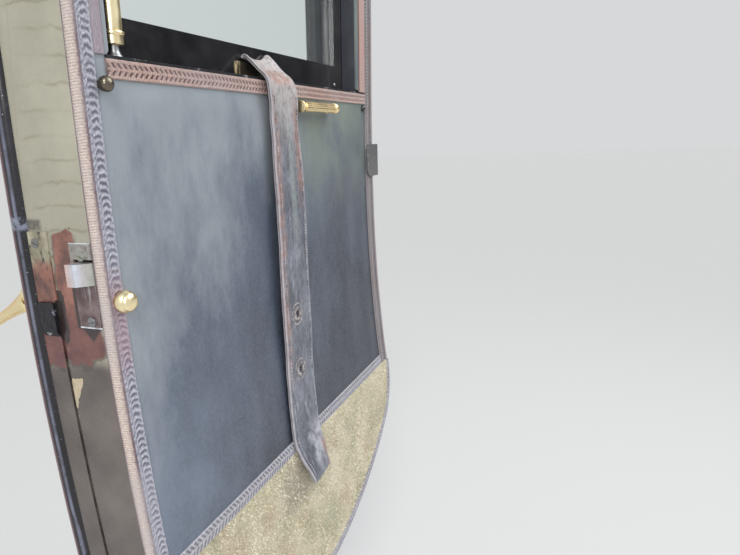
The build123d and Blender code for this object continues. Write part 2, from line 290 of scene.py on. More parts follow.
def hide_material():
    """Pebbled black hide with pale scuffs, and painted sheen: a blue-grey brightening that fades to the lower
    hinge side, a greenish painted reflection high on the hinge side and a bluish painted sheen low on the
    lock side.
    """
    m = Mat("hide", (0.02, 0.022, 0.027), 0.42, Specular_IOR_Level=0.75)
    tall = m.stretch((1, 1, 0.5))
    # Painted sheen: the hide drawn lighter and bluer towards the upper lock side, in patchy cloud.
    to_lock = m.math("MULTIPLY_ADD", m.axis(0), -1.3, 0.25)
    to_top = m.math("MULTIPLY_ADD", m.axis(2), 1.95, -0.36)
    cloud = m.noise(8, 9, 0.72, m.stretch((1, 1, 0.5), (0.0, 0.7, 0.0)))
    painted_sheen = m.plus(to_lock, to_top, m.swing(cloud, 1.7))
    m.colour(m.ramp(
        painted_sheen, (0.0, (0.016, 0.021, 0.038)), (0.55, (0.082, 0.103, 0.148)), (1.0, (0.27, 0.30, 0.33))
    ))
    # Painted reflection: a greenish tint high on the hinge side.
    top_hinge_reflection = m.times(m.widths(-290, -40, 0.09), m.heights(-60, ABOVE, 0.09))
    m.layer((0.19, 0.225, 0.185), top_hinge_reflection, m.patches(16, 3, 0.3, 0.6, bottom=0.3))
    # Painted sheen: a bluish patch low on the lock side.
    low_lock_sheen = m.times(m.widths(PAST_LOCK, -500, 0.08), m.heights(BELOW, -270, 0.09))
    m.layer((0.16, 0.195, 0.265), low_lock_sheen, m.patches(11, 6, 0.3, 0.62, 0.65, bottom=0.1, top=0.8))
    scuff = m.patches(120, 4, 0.68, 0.73, 0.7, m.stretch((1, 1, 0.14), (0.0, 0.5, 0.0)))
    m.layer((0.26, 0.28, 0.33), scuff, m.patches(7, 2, 0.5, 0.62, top=0.5))
    m.layer((0.22, 0.25, 0.29), m.patches(260, 5, 0.42, 0.66, 0.75, top=0.24))
    m.rough(20, 5, 0.32, 0.72, 0.6, tall, bottom=0.36, top=0.52)
    m.bump(m.pebbles(1100), 0.22, 0.0003)
    m.bump(m.noise(240), 0.2, 0.0006)
    m.bump(m.noise(30, 4, 0.5, tall), 0.2, 0.004)
    return m.bump(m.noise(9, 3, 0.5, tall), 0.25, 0.010)


def eyelet_material():
    """Grey-brown sewn leather of the button holes."""
    m = Mat("eyelet_hide", (0.2, 0.19, 0.2), 0.6)
    m.colour(m.mottle((0.14, 0.13, 0.135), (0.42, 0.385, 0.38), 180, 5, 0.38, 0.6))
    return m.bump(m.noise(500), 0.4, 0.0004)


def strap_material():
    """Older hide than the panel: greyer, cracked and worn red-brown where it bends and along its edges, with
    painted sheen over the sill and down its face, a painted highlight along its edges and a painted
    reflection at its lifted end.
    """
    m = Mat("strap_hide", (0.06, 0.065, 0.075), 0.5, woven=True, Specular_IOR_Level=0.6)
    side = m.axis(1, m.weave)
    across = m.math("ABSOLUTE", side)
    m.colour(m.mottle(
        (0.08, 0.085, 0.108), (0.265, 0.275, 0.32), 34, 8, 0.36, 0.66, 0.66, m.stretch((1, 1, 0.5))
    ))
    streaks = m.stretch((1.0, 1, 0.3), (0.0, 0.7, 0.0))
    m.layer((0.36, 0.38, 0.43), m.patches(80, 6, 0.58, 0.68, 0.7, streaks, top=0.7))
    # Painted sheen: a lighter greenish band down the face, just to the hinge side of its middle.
    m.layer((0.30, 0.34, 0.33), m.band(side, 0.02, 0.34, 0.12), m.heights(-130, 66, 0.04), 0.55)
    patches = m.patches(52, 8, 0.38, 0.57, 0.76)
    lock_worn = m.times(m.band(side, -1.3, -0.62, 0.12), m.heights(-300, 44, 0.04))
    hinge_worn = m.times(m.band(side, 0.55, 1.3, 0.14), m.heights(-70, 44, 0.03))
    worn = m.times(m.most(lock_worn, hinge_worn), patches)
    bend = m.times(m.heights(69, 86, 0.006), m.patches(48, 4, 0.4, 0.56, bottom=0.2))
    # Painted sheen: the strap drawn lighter where it rises over the sill.
    m.layer((0.54, 0.49, 0.47), m.heights(30, ABOVE, 0.07), 0.9)
    m.layer((0.37, 0.195, 0.15), m.most(worn, bend), 0.85)
    cracks = m.stretch((1, 1, 0.5), (0.0, 0.4, 0.0))
    m.layer((0.035, 0.035, 0.045), m.patches(230, 5, 0.34, 0.52, 0.7, cracks, bottom=0.55, top=0.0))
    # Painted highlight: a pale line along both edges.
    m.layer((0.42, 0.40, 0.43), m.band(across, 0.93, 1.3, 0.015), m.patches(90, 3, 0.3, 0.6, bottom=0.45))
    # Painted reflection: the lifted end drawn pale blue-grey.
    tip_reflection = m.times(m.heights(-448, -392, 0.016), m.patches(44, 6, 0.42, 0.6, 0.7))
    m.layer((0.42, 0.42, 0.47), tip_reflection, m.band(side, -0.1, 1.2, 0.3))
    m.layer((0.32, 0.20, 0.17), m.heights(BELOW, -412, 0.012), m.band(side, 0.72, 1.4, 0.1), patches)
    m.layer((0.012, 0.012, 0.015), m.band(m.axis(2, m.weave), -1, 0.2, 0.1))
    m.rough(60, 5, 0.3, 0.7, bottom=0.38, top=0.62)
    m.bump(m.pebbles(900), 0.35, 0.0004)
    return m.bump(m.noise(120, 6, 0.65), 0.5, 0.0014)


def braid_material(name, dark, mid, light, worn, worn_share=0.5, tint=None):
    """Woven trim: colour follows the height of its threads, partly the weave's own dark threads and partly
    painted shade in its hollows; it fades in patches and fuzzes with fibre.
    """
    m = Mat(name, mid, 0.85, woven=True, Sheen_Weight=0.25, Sheen_Roughness=0.4)
    height = m.axis(2, m.weave)
    fibre = m.noise(1500, 3, 0.6)
    m.colour(m.ramp(m.plus(height, m.swing(fibre, 0.5)), (0.12, dark), (0.5, mid), (0.95, light)))
    m.layer(worn, m.patches(14, 5, 0.36, 0.72, 0.6, top=worn_share))
    if tint:
        colour, low, high = tint
        m.layer(colour, m.heights(low, high, 0.02), 0.42)
    # Painted shade: threads drawn darker the lower they lie.
    m.layer(dark, m.math("SUBTRACT", 1.0, height), 0.35)
    return m.bump(fibre, 0.5, 0.0005)


def carpet_material(name, woven=False):
    """Faded olive carpet, with a painted shadow below the strap's hanging end. Its tufts carry a shade of
    their own in weave.
    """
    m = Mat(name, (0.4, 0.36, 0.22), 0.95, woven=woven, Sheen_Weight=0.3, Sheen_Roughness=0.5)
    m.colour(m.ramp(
        m.noise(17, 5, 0.6), (0.36, (0.30, 0.29, 0.14)), (0.5, (0.48, 0.43, 0.26)), (0.66, (0.60, 0.54, 0.38))
    ))
    rust = m.stretch((1, 1, 1), (0.4, 0.2, 0.9))
    m.layer((0.40, 0.27, 0.15), m.patches(23, 4, 0.5, 0.64, 0.6, rust, top=0.7))
    # Painted shadow of the strap's hanging end on the carpet.
    m.layer((0.08, 0.065, 0.045), m.widths(-425, -345, 0.025), m.heights(-480, -425, 0.02), 0.6)
    if woven:
        shade = m.axis(2, m.weave)
        m.layer((0.16, 0.125, 0.065), m.ramp(shade, (0.0, 0.85), (0.38, 0.0)))
        m.layer((0.98, 0.92, 0.78), m.ramp(shade, (0.42, 0.0), (0.85, 1.0)))
    else:
        m.layer((0.13, 0.11, 0.06), m.patches(420, 3, 0.35, 0.7, top=0.6))
    m.layer((0.95, 0.90, 0.80), 0.14)
    return m.bump(m.noise(900, 4, 0.7), 0.6, 0.001)


def coach_material(name, dark, pale, rough, maroon=None, coat=0.7):
    """Coach paint under a clear coat, with orange peel and dust."""
    m = Mat(name, dark, rough, Coat_Weight=coat, Coat_Roughness=0.08)
    m.colour(m.mottle(dark, pale, 10, 8, 0.42, 0.75, 0.6, top=0.7))
    if maroon:
        m.layer(maroon, m.patches(5, 4, 0.4, 0.6, 0.5, m.stretch((1, 1, 0.3)), bottom=0.15, top=0.85))
    m.layer((0.4, 0.38, 0.34), m.patches(520, 3, 0.66, 0.74, 0.7, top=0.22))
    m.rough(40, 6, 0.35, 0.72, bottom=rough, top=rough + 0.16)
    return m.bump(m.noise(240, 3), 0.05, 0.0004)


def khaki_reflection(m, y, z, high):
    """Painted reflection of a pale boarded house in the black gloss, khaki with darker stretches and wavering
    cross lines for its boards; and one faint line up the door.
    """
    m.colour(m.mottle((0.36, 0.345, 0.27), (0.47, 0.45, 0.36), 11, 6, 0.38, 0.66, 0.6))
    m.layer((0.30, 0.285, 0.225), m.heights(BELOW, -20, 0.05, high), 0.5)
    m.layer((0.25, 0.22, 0.145), m.heights(128, ABOVE, 0.02, high))
    # Painted reflection: wavering cross lines for the mirrored boards.
    wave = m.swing(m.noise(26, 4, 0.6, m.stretch((1, 1, 0.5))), 0.022)
    spacing = m.math("FRACT", m.math("DIVIDE", m.plus(z, 2.0, wave), 0.0205))
    lines = m.ramp(spacing, (0.40, 0.0), (0.50, 1.0), (0.60, 0.0))
    broken = m.patches(18, 3, 0.42, 0.56, 0.5, m.stretch((1, 0.6, 2.0)), bottom=0.15, top=0.85)
    m.layer((0.25, 0.22, 0.15), lines, broken, m.band(y, 0.012, 0.07, 0.008))
    m.layer((0.30, 0.28, 0.23), m.band(m.plus(y, m.times(z, 0.09)), 0.0935, 0.0945, 0.0007), 0.6)


def worn_primer(m, y, high):
    """Red primer laid bare round the lock, with the dark edge of the paint about it. Gives where it lies."""
    inner = m.times(m.heights(-193, -64, 0.012, high), m.band(y, 0.030, 0.0565, 0.007))
    under = m.times(m.heights(-186, -146, 0.010, high), m.band(y, 0.014, 0.066, 0.008))
    strip = m.times(m.heights(-193, -120, 0.010, high), m.band(y, 0.0612, 0.085, 0.001))
    zone, outline = m.blotch(m.most(inner, under, strip), 70, 1.3)
    cloud = m.noise(44, 8, 0.7)
    red = m.ramp(cloud, (0.34, (0.10, 0.045, 0.04)), (0.47, (0.19, 0.08, 0.06)), (0.62, (0.31, 0.135, 0.10)))
    m.layer(m.mix(m.times(m.heights(BELOW, -140, 0.02, high), 0.6), red, (0.11, 0.038, 0.042)), zone)
    m.layer((0.06, 0.035, 0.03), outline, 0.65, m.heights(-230, -72, 0.01, high))
    return zone


def dark_marks(m, y, z, high):
    """Nearly black: painted shadow in the gap beside the plate, a dark wedge under its foot, a ragged dark
    splotch, a worn collar and small spots.
    """
    # Painted shadow in the gap beside the plate.
    gap = m.times(m.band(y, 0.030, 0.0405, 0.0008), m.heights(-154, -111, 0.002))
    # A dark wedge under the plate's foot.
    slope = m.math("MULTIPLY_ADD", z, -0.85, 0.85 * row_z(-166))
    wedge = m.plus(m.math("ABSOLUTE", m.math("SUBTRACT", y, 0.025)), slope)
    foot = m.times(m.band(wedge, -1, 0.0, 0.002), m.heights(-172, -152, 0.002))
    # A ragged dark splotch beside the dovetail.
    dark_splotch = m.times(m.band(y, 0.052, 0.062, 0.004), m.heights(-170, -120, 0.012))
    dark_splotch = m.blotch(dark_splotch, 110, 0.9)[0]
    collar = m.times(m.heights(-66.5, -57, 0.002), m.band(y, 0.066, 0.09, 0.003))
    collar = m.times(collar, m.patches(150, 5, 0.36, 0.52, 0.7, bottom=0.35), 0.8)
    spots = m.times(m.patches(210, 5, 0.66, 0.70, 0.7), m.heights(-250, -50, 0.02, high))
    m.layer((0.022, 0.016, 0.018), m.most(gap, foot, dark_splotch, collar, spots), 0.92)


def chipped_lip(m, y, z):
    """Bare wood where the edge below the lock is chipped, with its shadow."""
    fall = m.times(m.math("SUBTRACT", z, row_z(-203)), 0.42)
    chip = m.times(m.band(m.plus(y, fall), 0.0455, 1, 0.003), m.band(y, 0, 0.0602, 0.002))
    bare, shadow = m.blotch(m.times(chip, m.heights(-236, -203, 0.005)), 150, 1.2, 8.0)
    m.layer((0.07, 0.05, 0.035), shadow, m.heights(-240, -198, 0.003))
    fibres = m.noise(300, 4, 0.6, m.stretch((1, 1, 0.3)))
    m.layer(m.mix(fibres, (0.36, 0.28, 0.17), (0.66, 0.57, 0.42)), bare)


def shut_face_material():
    """Old black gloss paint, worn to primer round the lock, under a painted reflection: khaki above the lock
    and brown-grey below.
    """
    m = Mat("shut_face", (0.44, 0.40, 0.29), 0.26, Coat_Weight=0.5, Coat_Roughness=0.14)
    y, z = m.inward(), m.axis(2)
    high = m.plus(z, m.swing(m.noise(9, 5, 0.6), 0.03))
    khaki_reflection(m, y, z, high)
    # Painted reflection of the ground: brown-grey below the lock.
    brown = m.mottle((0.082, 0.066, 0.060), (0.155, 0.130, 0.118), 16, 6, 0.35, 0.68)
    m.layer(brown, m.heights(BELOW, -190, 0.008, high))
    primer = worn_primer(m, y, high)
    dark_marks(m, y, z, high)
    chipped_lip(m, y, z)
    near = m.times(m.band(y, 0.055, 0.068, 0.004), m.heights(-290, -150, 0.02))
    m.layer((0.78, 0.76, 0.70), m.patches(800, 2, 0.72, 0.75, 0.6, top=0.9), m.plus(0.25, near))
    joint = m.times(m.band(y, 0.0596, 0.0612, 0.0004), m.heights(BELOW, -68, 0.004))
    m.layer((0.02, 0.015, 0.012), joint, m.patches(60, 3, 0.3, 0.7, bottom=0.9, top=0.35))
    m.layer((0.012, 0.013, 0.017), m.widths(-644.4, PAST_HINGE, 0.0002))
    m.rough(30, 6, 0.35, 0.7, bottom=0.2, top=0.4)
    m.bump(primer, 0.35, 0.0005)
    return m.bump(m.noise(160), 0.08, 0.0005)


def bead_material():
    """Gloss black round the edge, maroon where it turns to the outside, with a painted highlight line along
    the round, specks and one dirty ring.
    """
    m = Mat("edge_bead", (0.01, 0.009, 0.012), 0.14, Coat_Weight=0.25, Coat_Roughness=0.06)
    y = m.inward()
    m.colour(m.mottle((0.006, 0.006, 0.009), (0.022, 0.02, 0.028), 9, 5, 0.4, 0.7))
    m.layer((0.110, 0.036, 0.048), m.band(y, 0.0915, 1, 0.0018))
    # Painted highlight: a pale blue line along the round.
    painted_highlight = m.band(y, 0.0862, 0.0888, 0.0009)
    m.layer((0.17, 0.18, 0.25), painted_highlight, m.patches(40, 5, 0.3, 0.6, 0.6, bottom=0.35))
    m.layer((0.22, 0.24, 0.32), m.heights(-66, -55, 0.002), m.patches(170, 5, 0.44, 0.6, 0.7, bottom=0.05))
    m.layer((0.42, 0.42, 0.46), m.patches(420, 3, 0.67, 0.71, 0.7, top=0.9))
    m.rough(60, 6, 0.35, 0.7, bottom=0.12, top=0.3)
    return m.bump(m.noise(200), 0.1, 0.0005)


def bolt_material():
    """Bright worn steel with painted reflections: pink where the bevel catches the light, blue-white across
    its middle and greenish beside the plate.
    """
    m = Mat("bolt_steel", (0.7, 0.7, 0.72), 0.3, 0.55)
    y = m.plus(m.inward(), m.swing(m.noise(90), 0.006))
    over_bolt = m.math("DIVIDE", m.math("SUBTRACT", y, 0.0115), 0.0205)
    # Painted reflections across the bolt: greenish, then blue-white, then pink.
    m.colour(m.ramp(
        over_bolt, (0.0, (0.38, 0.40, 0.34)), (0.3, (0.52, 0.50, 0.51)),
        (0.55, (0.64, 0.68, 0.76)), (1.0, (0.76, 0.56, 0.51)),
    ))
    m.layer((0.34, 0.31, 0.31), m.patches(90, 6, 0.5, 0.7, 0.6, m.stretch((1, 5, 1)), top=0.4))
    m.rough(120, 5, 0.35, 0.7, bottom=0.22, top=0.42)
    return m.bump(m.noise(260), 0.08, 0.0003)


def lock_plate_material():
    """Brown-mauve lower plate, greyer above the bolt, with bright bands along its top and bottom edges and
    upright scratches.
    """
    m = Mat("lock_plate_steel", (0.17, 0.13, 0.13), 0.34, 0.35)
    m.colour(m.mottle((0.12, 0.08, 0.08), (0.24, 0.18, 0.185), 50, 6, 0.4, 0.62, 0.65))
    upper = m.mottle((0.22, 0.19, 0.18), (0.42, 0.42, 0.38), 70, 5, 0.4, 0.6)
    m.layer(upper, m.heights(-108, ABOVE, 0.003))
    scratch = m.patches(420, 3, 0.58, 0.66, 0.6, m.stretch((1, 1, 0.08)), top=0.7)
    m.layer((0.45, 0.42, 0.43), scratch)
    rim = m.most(m.heights(-153, -151.2, 0.0003), m.heights(-77.2, ABOVE, 0.0003))
    m.layer((0.80, 0.84, 0.90), rim, m.patches(110, 3, 0.35, 0.5, bottom=0.4))
    m.rough(120, 5, 0.3, 0.7, bottom=0.26, top=0.46)
    return m.bump(scratch, 0.2, 0.0003)


def metal_material(name, bright, dull, rough, share=0.6, brushed=(1, 1, 1)):
    """Metal that is bright where it faces the eye, darkened by painted shade towards its rim, and dull in
    patches of tarnish.
    """
    m = Mat(name, bright, rough, 1.0)
    # Painted shade: the metal drawn duller and deeper in colour where it turns away from the eye.
    rim = m.new("ShaderNodeLayerWeight", {"Blend": 0.35}).outputs["Facing"]
    edge = m.ramp(rim, (0.3, 0.0), (0.8, 0.85))
    m.colour(bright)
    m.layer(dull, m.most(m.patches(42, 6, 0.5, 0.78, 0.6, top=share), edge))
    m.rough(60, 4, 0.35, 0.7, 0.5, m.stretch(brushed), bottom=rough, top=rough + 0.1)
    return m.bump(m.noise(300, 3, 0.5, m.stretch(brushed)), 0.03, 0.0002)


def worn_paint_on_steel(name, paint, steel, low, high):
    """Steel that shows through old paint in patches."""
    m = Mat(name, paint, 0.35)
    bare = m.patches(60, 7, low, high, 0.65)
    m.colour(m.mix(m.noise(40), paint, tuple(0.5 * c for c in paint)))
    m.layer(steel, bare)
    m.feed(m.b.inputs["Metallic"], m.times(bare, 0.9))
    m.rough(120, 5, 0.3, 0.7, bottom=0.26, top=0.5)
    return m.bump(bare, 0.3, 0.0004)


def wear_plate_material():
    """Khaki at its head, a painted reflection as on the shut face, and worn to primer below."""
    m = Mat("wear_plate_paint", (0.4, 0.37, 0.27), 0.35, Coat_Weight=0.3, Coat_Roughness=0.2)
    high = m.plus(m.axis(2), m.swing(m.noise(50, 5, 0.6), 0.03))
    # Painted reflection: khaki, as on the shut face.
    m.colour(m.mottle((0.24, 0.22, 0.15), (0.46, 0.43, 0.32), 50, 6, 0.4, 0.64))
    red = m.mottle((0.13, 0.065, 0.055), (0.33, 0.14, 0.10), 44, 6, 0.36, 0.66, 0.65)
    m.layer(red, m.heights(BELOW, -97, 0.008, high))
    cuts = m.patches(120, 5, 0.56, 0.6, 0.7, m.stretch((1, 1, 0.3)))
    cuts = m.times(cuts, m.heights(-128, -84, 0.004))
    marks = m.most(m.patches(150, 5, 0.6, 0.66, 0.7, m.stretch((1, 1, 0.4))), cuts)
    m.layer((0.03, 0.02, 0.02), marks)
    m.rough(80, 5, 0.3, 0.7, bottom=0.3, top=0.55)
    return m.bump(marks, 0.3, 0.0004)


def thread_material():
    m = Mat("waxed_thread", (0.34, 0.33, 0.36), 0.7)
    m.colour(m.mottle((0.10, 0.10, 0.12), (0.46, 0.46, 0.50), 90, 3, 0.35, 0.6))
    return m.bump(m.noise(1400, 2), 0.4, 0.0003)


def lining_material():
    """Torn backing behind the strap: olive, with pale frayed threads on its lock side."""
    m = Mat("torn_lining", (0.03, 0.024, 0.014), 0.8)
    m.colour(m.mottle((0.012, 0.011, 0.010), (0.07, 0.05, 0.022), 60, 5, 0.4, 0.65))
    frayed = m.patches(300, 4, 0.5, 0.56, 0.7, m.stretch((1, 1, 0.2), (0.0, 0.5, 0.0)))
    m.layer((0.52, 0.42, 0.24), frayed, m.widths(PAST_LOCK, -377, 0.002))
    return m.bump(m.noise(200, 5), 0.5, 0.001)


def felt_material():
    m = Mat("felt", (0.02, 0.02, 0.022), 0.95)
    m.colour(m.mix(m.noise(300), (0.012, 0.012, 0.014), (0.05, 0.05, 0.052)))
    return m.bump(m.noise(900, 3), 0.5, 0.0005)


def pane_material():
    m = Mat("pane", (0.90, 0.96, 0.94), 0.02, Transmission_Weight=1.0, IOR=1.45)
    m.rough(14, 6, 0.45, 0.75, bottom=0.015, top=0.07)
    return m


hide = hide_material()
strap_hide = strap_material()
eyelet = eyelet_material()
waxed_thread = thread_material()
felt = felt_material()
ground = carpet_material("carpet_ground")
pile = carpet_material("carpet_pile", woven=True)
coach = coach_material("coach_black", (0.006, 0.006, 0.008), (0.03, 0.028, 0.03), 0.12)
reveal = coach_material("reveal_black", (0.016, 0.018, 0.028), (0.05, 0.055, 0.08), 0.3, coat=0.0)
panel_paint = coach_material(
    "coach_maroon", (0.010, 0.006, 0.007), (0.035, 0.02, 0.022), 0.1, (0.03, 0.006, 0.008)
)
brass = metal_material("brass", (1.0, 0.87, 0.55), (0.86, 0.50, 0.12), 0.23, 0.45)
old_brass = metal_material("old_brass", (0.17, 0.15, 0.11), (0.035, 0.032, 0.03), 0.22, 0.9)
bright_steel = metal_material("bright_steel", (0.72, 0.70, 0.68), (0.42, 0.36, 0.33), 0.22, 0.7, (1, 6, 1))
dull_steel = metal_material("dull_steel", (0.34, 0.34, 0.35), (0.14, 0.13, 0.13), 0.34, 0.8)
plate_paint = worn_paint_on_steel("plate_paint", (0.24, 0.23, 0.19), (0.46, 0.48, 0.42), 0.4, 0.55)
sill_paint = worn_paint_on_steel("sill_paint", (0.012, 0.013, 0.018), (0.42, 0.40, 0.40), 0.58, 0.68)
black_iron = worn_paint_on_steel("black_iron", (0.010, 0.010, 0.016), (0.45, 0.45, 0.55), 0.62, 0.67)
black_iron.bump(black_iron.noise(130, 3), 0.7, 0.004)

# Dark, middle, light and worn thread colours, the share that is worn, and a tint between two heights.
BRAID_LOOKS = {
    "grey_braid": (
        (0.10, 0.10, 0.14), (0.32, 0.32, 0.375), (0.58, 0.58, 0.64), (0.44, 0.44, 0.50), 0.5,
        ((0.40, 0.19, 0.22), -190, -108),
    ),
    "copper_braid": ((0.06, 0.03, 0.037), (0.38, 0.23, 0.19), (0.58, 0.42, 0.36), (0.43, 0.36, 0.36), 0.65),
    "pink_braid": ((0.17, 0.085, 0.085), (0.42, 0.24, 0.20), (0.55, 0.36, 0.32), (0.40, 0.295, 0.285), 0.5),
    "mauve_braid": ((0.12, 0.08, 0.10), (0.31, 0.23, 0.27), (0.49, 0.41, 0.45), (0.35, 0.35, 0.39), 0.9),
    "hinge_braid": ((0.05, 0.04, 0.05), (0.19, 0.16, 0.165), (0.44, 0.38, 0.36), (0.25, 0.24, 0.26), 0.7),
    "tan_cord": ((0.13, 0.08, 0.10), (0.52, 0.41, 0.36), (0.84, 0.72, 0.64), (0.52, 0.49, 0.50), 0.8),
    "violet_braid": ((0.12, 0.115, 0.145), (0.305, 0.30, 0.34), (0.58, 0.57, 0.61), (0.43, 0.42, 0.45), 0.5),
}
braids = {name: braid_material(name, *look) for name, look in BRAID_LOOKS.items()}

coach.on("sash_frame", "window_bead", "head_rail", "bottom_rail", "waist_rail_inner", "waist_rail_outer")
reveal.on("hinge_stile")
panel_paint.on("outer_skin", "belt_upper", "belt_lower")
bead_material().on("lock_edge_bead")
shut_face_material().on("lock_stile", "lower_edge_strip")
brass.on("knob_rose", "handle_rose")
bolt_material().on("lock_bolt")
bright_steel.on("spindle", "hinge_pin_1", "hinge_pin_2", "hinge_pin_3")
dull_steel.on("keeper_plate")
lock_plate_material().on("lock_plate")
black_iron.on("dovetail")
wear_plate_material().on("wear_plate")
sill_paint.on("sill_capping")
lining_material().on("strap_plate")
pane_material().on("window_glass")
for i in (1, 2, 3):
    coach.on(f"door_leaf_{i}", f"pillar_leaf_{i}")


def finish_piece(ob, material, stands_for=(), slot=None, body="door", sharp=38):
    ob.data.materials.append(material.m)
    ob.data.polygons.foreach_set("use_smooth", [True] * len(ob.data.polygons))
    ob.data.set_sharp_from_angle(angle=math.radians(sharp))
    if stands_for:
        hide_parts(stands_for)
    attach(ob, body)
    return ob


def mesh_piece(name, verts, faces, weave=None):
    """An object with outward normals from door points."""
    data = bpy.data.meshes.new(name)
    data.from_pydata([at(*v) for v in verts], [], faces)
    bm = bmesh.new()
    bm.from_mesh(data)
    bmesh.ops.recalc_face_normals(bm, faces=bm.faces)
    bm.to_mesh(data)
    bm.free()
    if weave:
        attribute = data.attributes.new("weave", "FLOAT_VECTOR", "POINT")
        attribute.data.foreach_set("vector", [c for w in weave for c in w])
    ob = bpy.data.objects.new(name, data)
    scene.collection.objects.link(ob)
    return ob


def lie(x, z, height):
    """The door point height mm inward of the leather's face."""
    return (x, depth(-height, z), z)


def slab(name, rows, cols, face, back=0.0, put=lie, **how):
    """A closed piece from face(u, v), which gives two coordinates, a height, the length along and the height
    of the thread. put makes a door point of coordinates and height; the plain back lies at height back."""
    verts, weave, rim = [], [], []
    w = cols + 1
    for i in range(rows + 1):
        for j in range(w):
            a, b, height, along, thread = face(i / rows, j / cols)
            verts.append(put(a, b, height))
            weave.append((along / 1000, 2 * j / cols - 1, thread))
            if j in (0, cols):
                rim.append(put(a, b, back))
    n = len(verts)
    for i in range(rows + 1):
        weave += [(weave[i * w][0], side, 0.2) for side in (-1, 1)]
    faces = [(a + j, a + j + 1, a + w + j + 1, a + w + j) for a in range(0, rows * w, w) for j in range(cols)]
    for i in range(rows):
        a, b, c, d = n + 2 * i, n + 2 * i + 1, i * w, i * w + cols
        faces += [(a, a + 2, b + 2, b), (c, c + w, a + 2, a), (d, b, b + 2, d + w)]
    faces.append((*range(w), n + 1, n))
    faces.append((*range(rows * w, n), n + 2 * rows + 1, n + 2 * rows))
    return finish_piece(mesh_piece(name, verts + rim, faces, weave), **how)


def tube_faces(rings, sides, start=0, closed=False):
    """Faces between rings of points from start on, with an end at either side or closed to a loop."""
    faces = []
    for i in range(rings if closed else rings - 1):
        a, b = start + i * sides, start + (i + 1) % rings * sides
        faces += [(a + k, a + (k + 1) % sides, b + (k + 1) % sides, b + k) for k in range(sides)]
    if not closed:
        faces += [tuple(range(a, a + sides)) for a in (start, start + (rings - 1) * sides)]
    return faces


# Leather, stretched over its board: nearly flat at the trims, with slow upright waves between them.
HIDE_THICK = 3.0


def panel_height(x, z):
    free = ease(x, -629, -600) * (1 - ease(x, -66, -36)) * (1 - ease(z, 36, 57)) * ease(z, -397, -370)
    wave = 0.42 * math.sin(x / 15.5 + 2.2 * grain(x / 150, z / 420, 0.0) + z / 260)
    wave += 0.75 * grain(x / 46, z / 210, 1.3) + 0.35 * grain(x / 21, z / 90, 8.1)
    return free * (1.05 + wave)


def panel_face(u, v):
    z = FOOT_Z + u * (GIMP_TOP - FOOT_Z)
    x = -WIDE + v * (hinge_side(z) + WIDE)
    return x, z, panel_height(x, z), z, 0.5


leather = slab(
    "leather_face", 210, 170, panel_face, -HIDE_THICK, material=hide, stands_for="leather_panel", slot="hide"
)


def cover(name, x0, x1, z0, z1, step=None):
    """A thin hide cover over a piece of the frame; step is the x that it keeps to below the sill."""
    lock_side = x0 == -WIDE

    def face(u, v):
        z = z0 + u * (z1 - z0)
        a, b = x0, x1
        if step is not None and z < WIN_Z0:
            a, b = (x0, step) if lock_side else (step, x1)
        rise = 0.55 * math.sin(math.pi * v) ** 0.6 + fuzz(z, 40 * v, 30, 0.2)
        return a + v * (b - a), z, max(0.0, rise * math.sin(math.pi * u) ** 0.2), z, 0.5

    piece = slab(name, 90, 10, face, -HIDE_THICK, material=hide, stands_for=name[:-5], slot="hide")


cover("post_cover_lock_hide", -WIDE, WIN_X0, GIMP_TOP, TRIM_TOP, SILL_X0)
cover("post_cover_hinge_hide", WIN_X1, 0.0, GIMP_TOP, TRIM_TOP, HINGE_GIMP)
cover("head_cover_hide", WIN_X0, WIN_X1, WIN_Z1, TRIM_TOP)


# Woven trims. A weave gives the height in mm and the thread height from mm along and share across.
def herringbone(pitch, slant, border):
    def weave(s, c):
        a = abs(c)
        phase = (s / pitch + slant * a) % 1.0
        dark = pulse(phase, 0.22, 0.72, 0.14) * pulse(a, 0.14, border, 0.07)
        ribs = ripple(2 * s / pitch + slant * a)
        thread = 0.55 + 0.35 * ribs - 0.75 * dark + 0.25 * grain(s / 3.1, 6 * c, pitch)
        return (1.5 + 0.95 * thread) * (1.0 - 0.45 * ease(a, 0.9, 1.0)), clamp(thread)

    return weave


def plait(pitch):
    """Loose looped braid with dark gaps and fine light threads, as on the lock edge."""

    def weave(s, c):
        phase = (s / pitch + 0.9 * (c - 0.15) ** 2 + 0.3 * grain(s / 11, 1.6 * c, 7.7)) % 1.0
        loops = pulse(phase, 0.2, 0.56, 0.13) * pulse(c, -0.32, 0.72, 0.14)
        gap = pulse((phase + 0.5) % 1.0, 0.3, 0.6, 0.12) * pulse(c, -0.78, -0.42, 0.1)
        thread = 0.58 - 0.62 * loops - 0.4 * gap + 0.5 * grain(s / 2.4, 5 * c, 1.0)
        thread += 0.3 * pulse((phase + 0.35) % 1.0, 0.1, 0.26, 0.06) - 0.6 * pulse(c, -1.1, -0.93, 0.03)
        return (1.45 + 0.95 * thread) * (1 - 0.4 * ease(abs(c), 0.92, 1.1)), clamp(thread)

    return weave


def cord_ribs(pitch, rise):
    """A round cord with cross ribs and a dark line down each side."""

    def weave(s, c):
        bow = math.sqrt(max(0.0, 1 - (c / 0.84) ** 2))
        rib = ripple(s / pitch + 0.2 * c + 0.12 * grain(s / 7, c, 2.0))
        thread = 0.18 + 0.30 * bow + 0.52 * rib * bow + 0.3 * grain(s / 2.2, 5 * c, 4.0)
        return 0.9 + rise * bow + 0.6 * rib * bow, clamp(thread) if abs(c) <= 0.86 else 0.0

    return weave


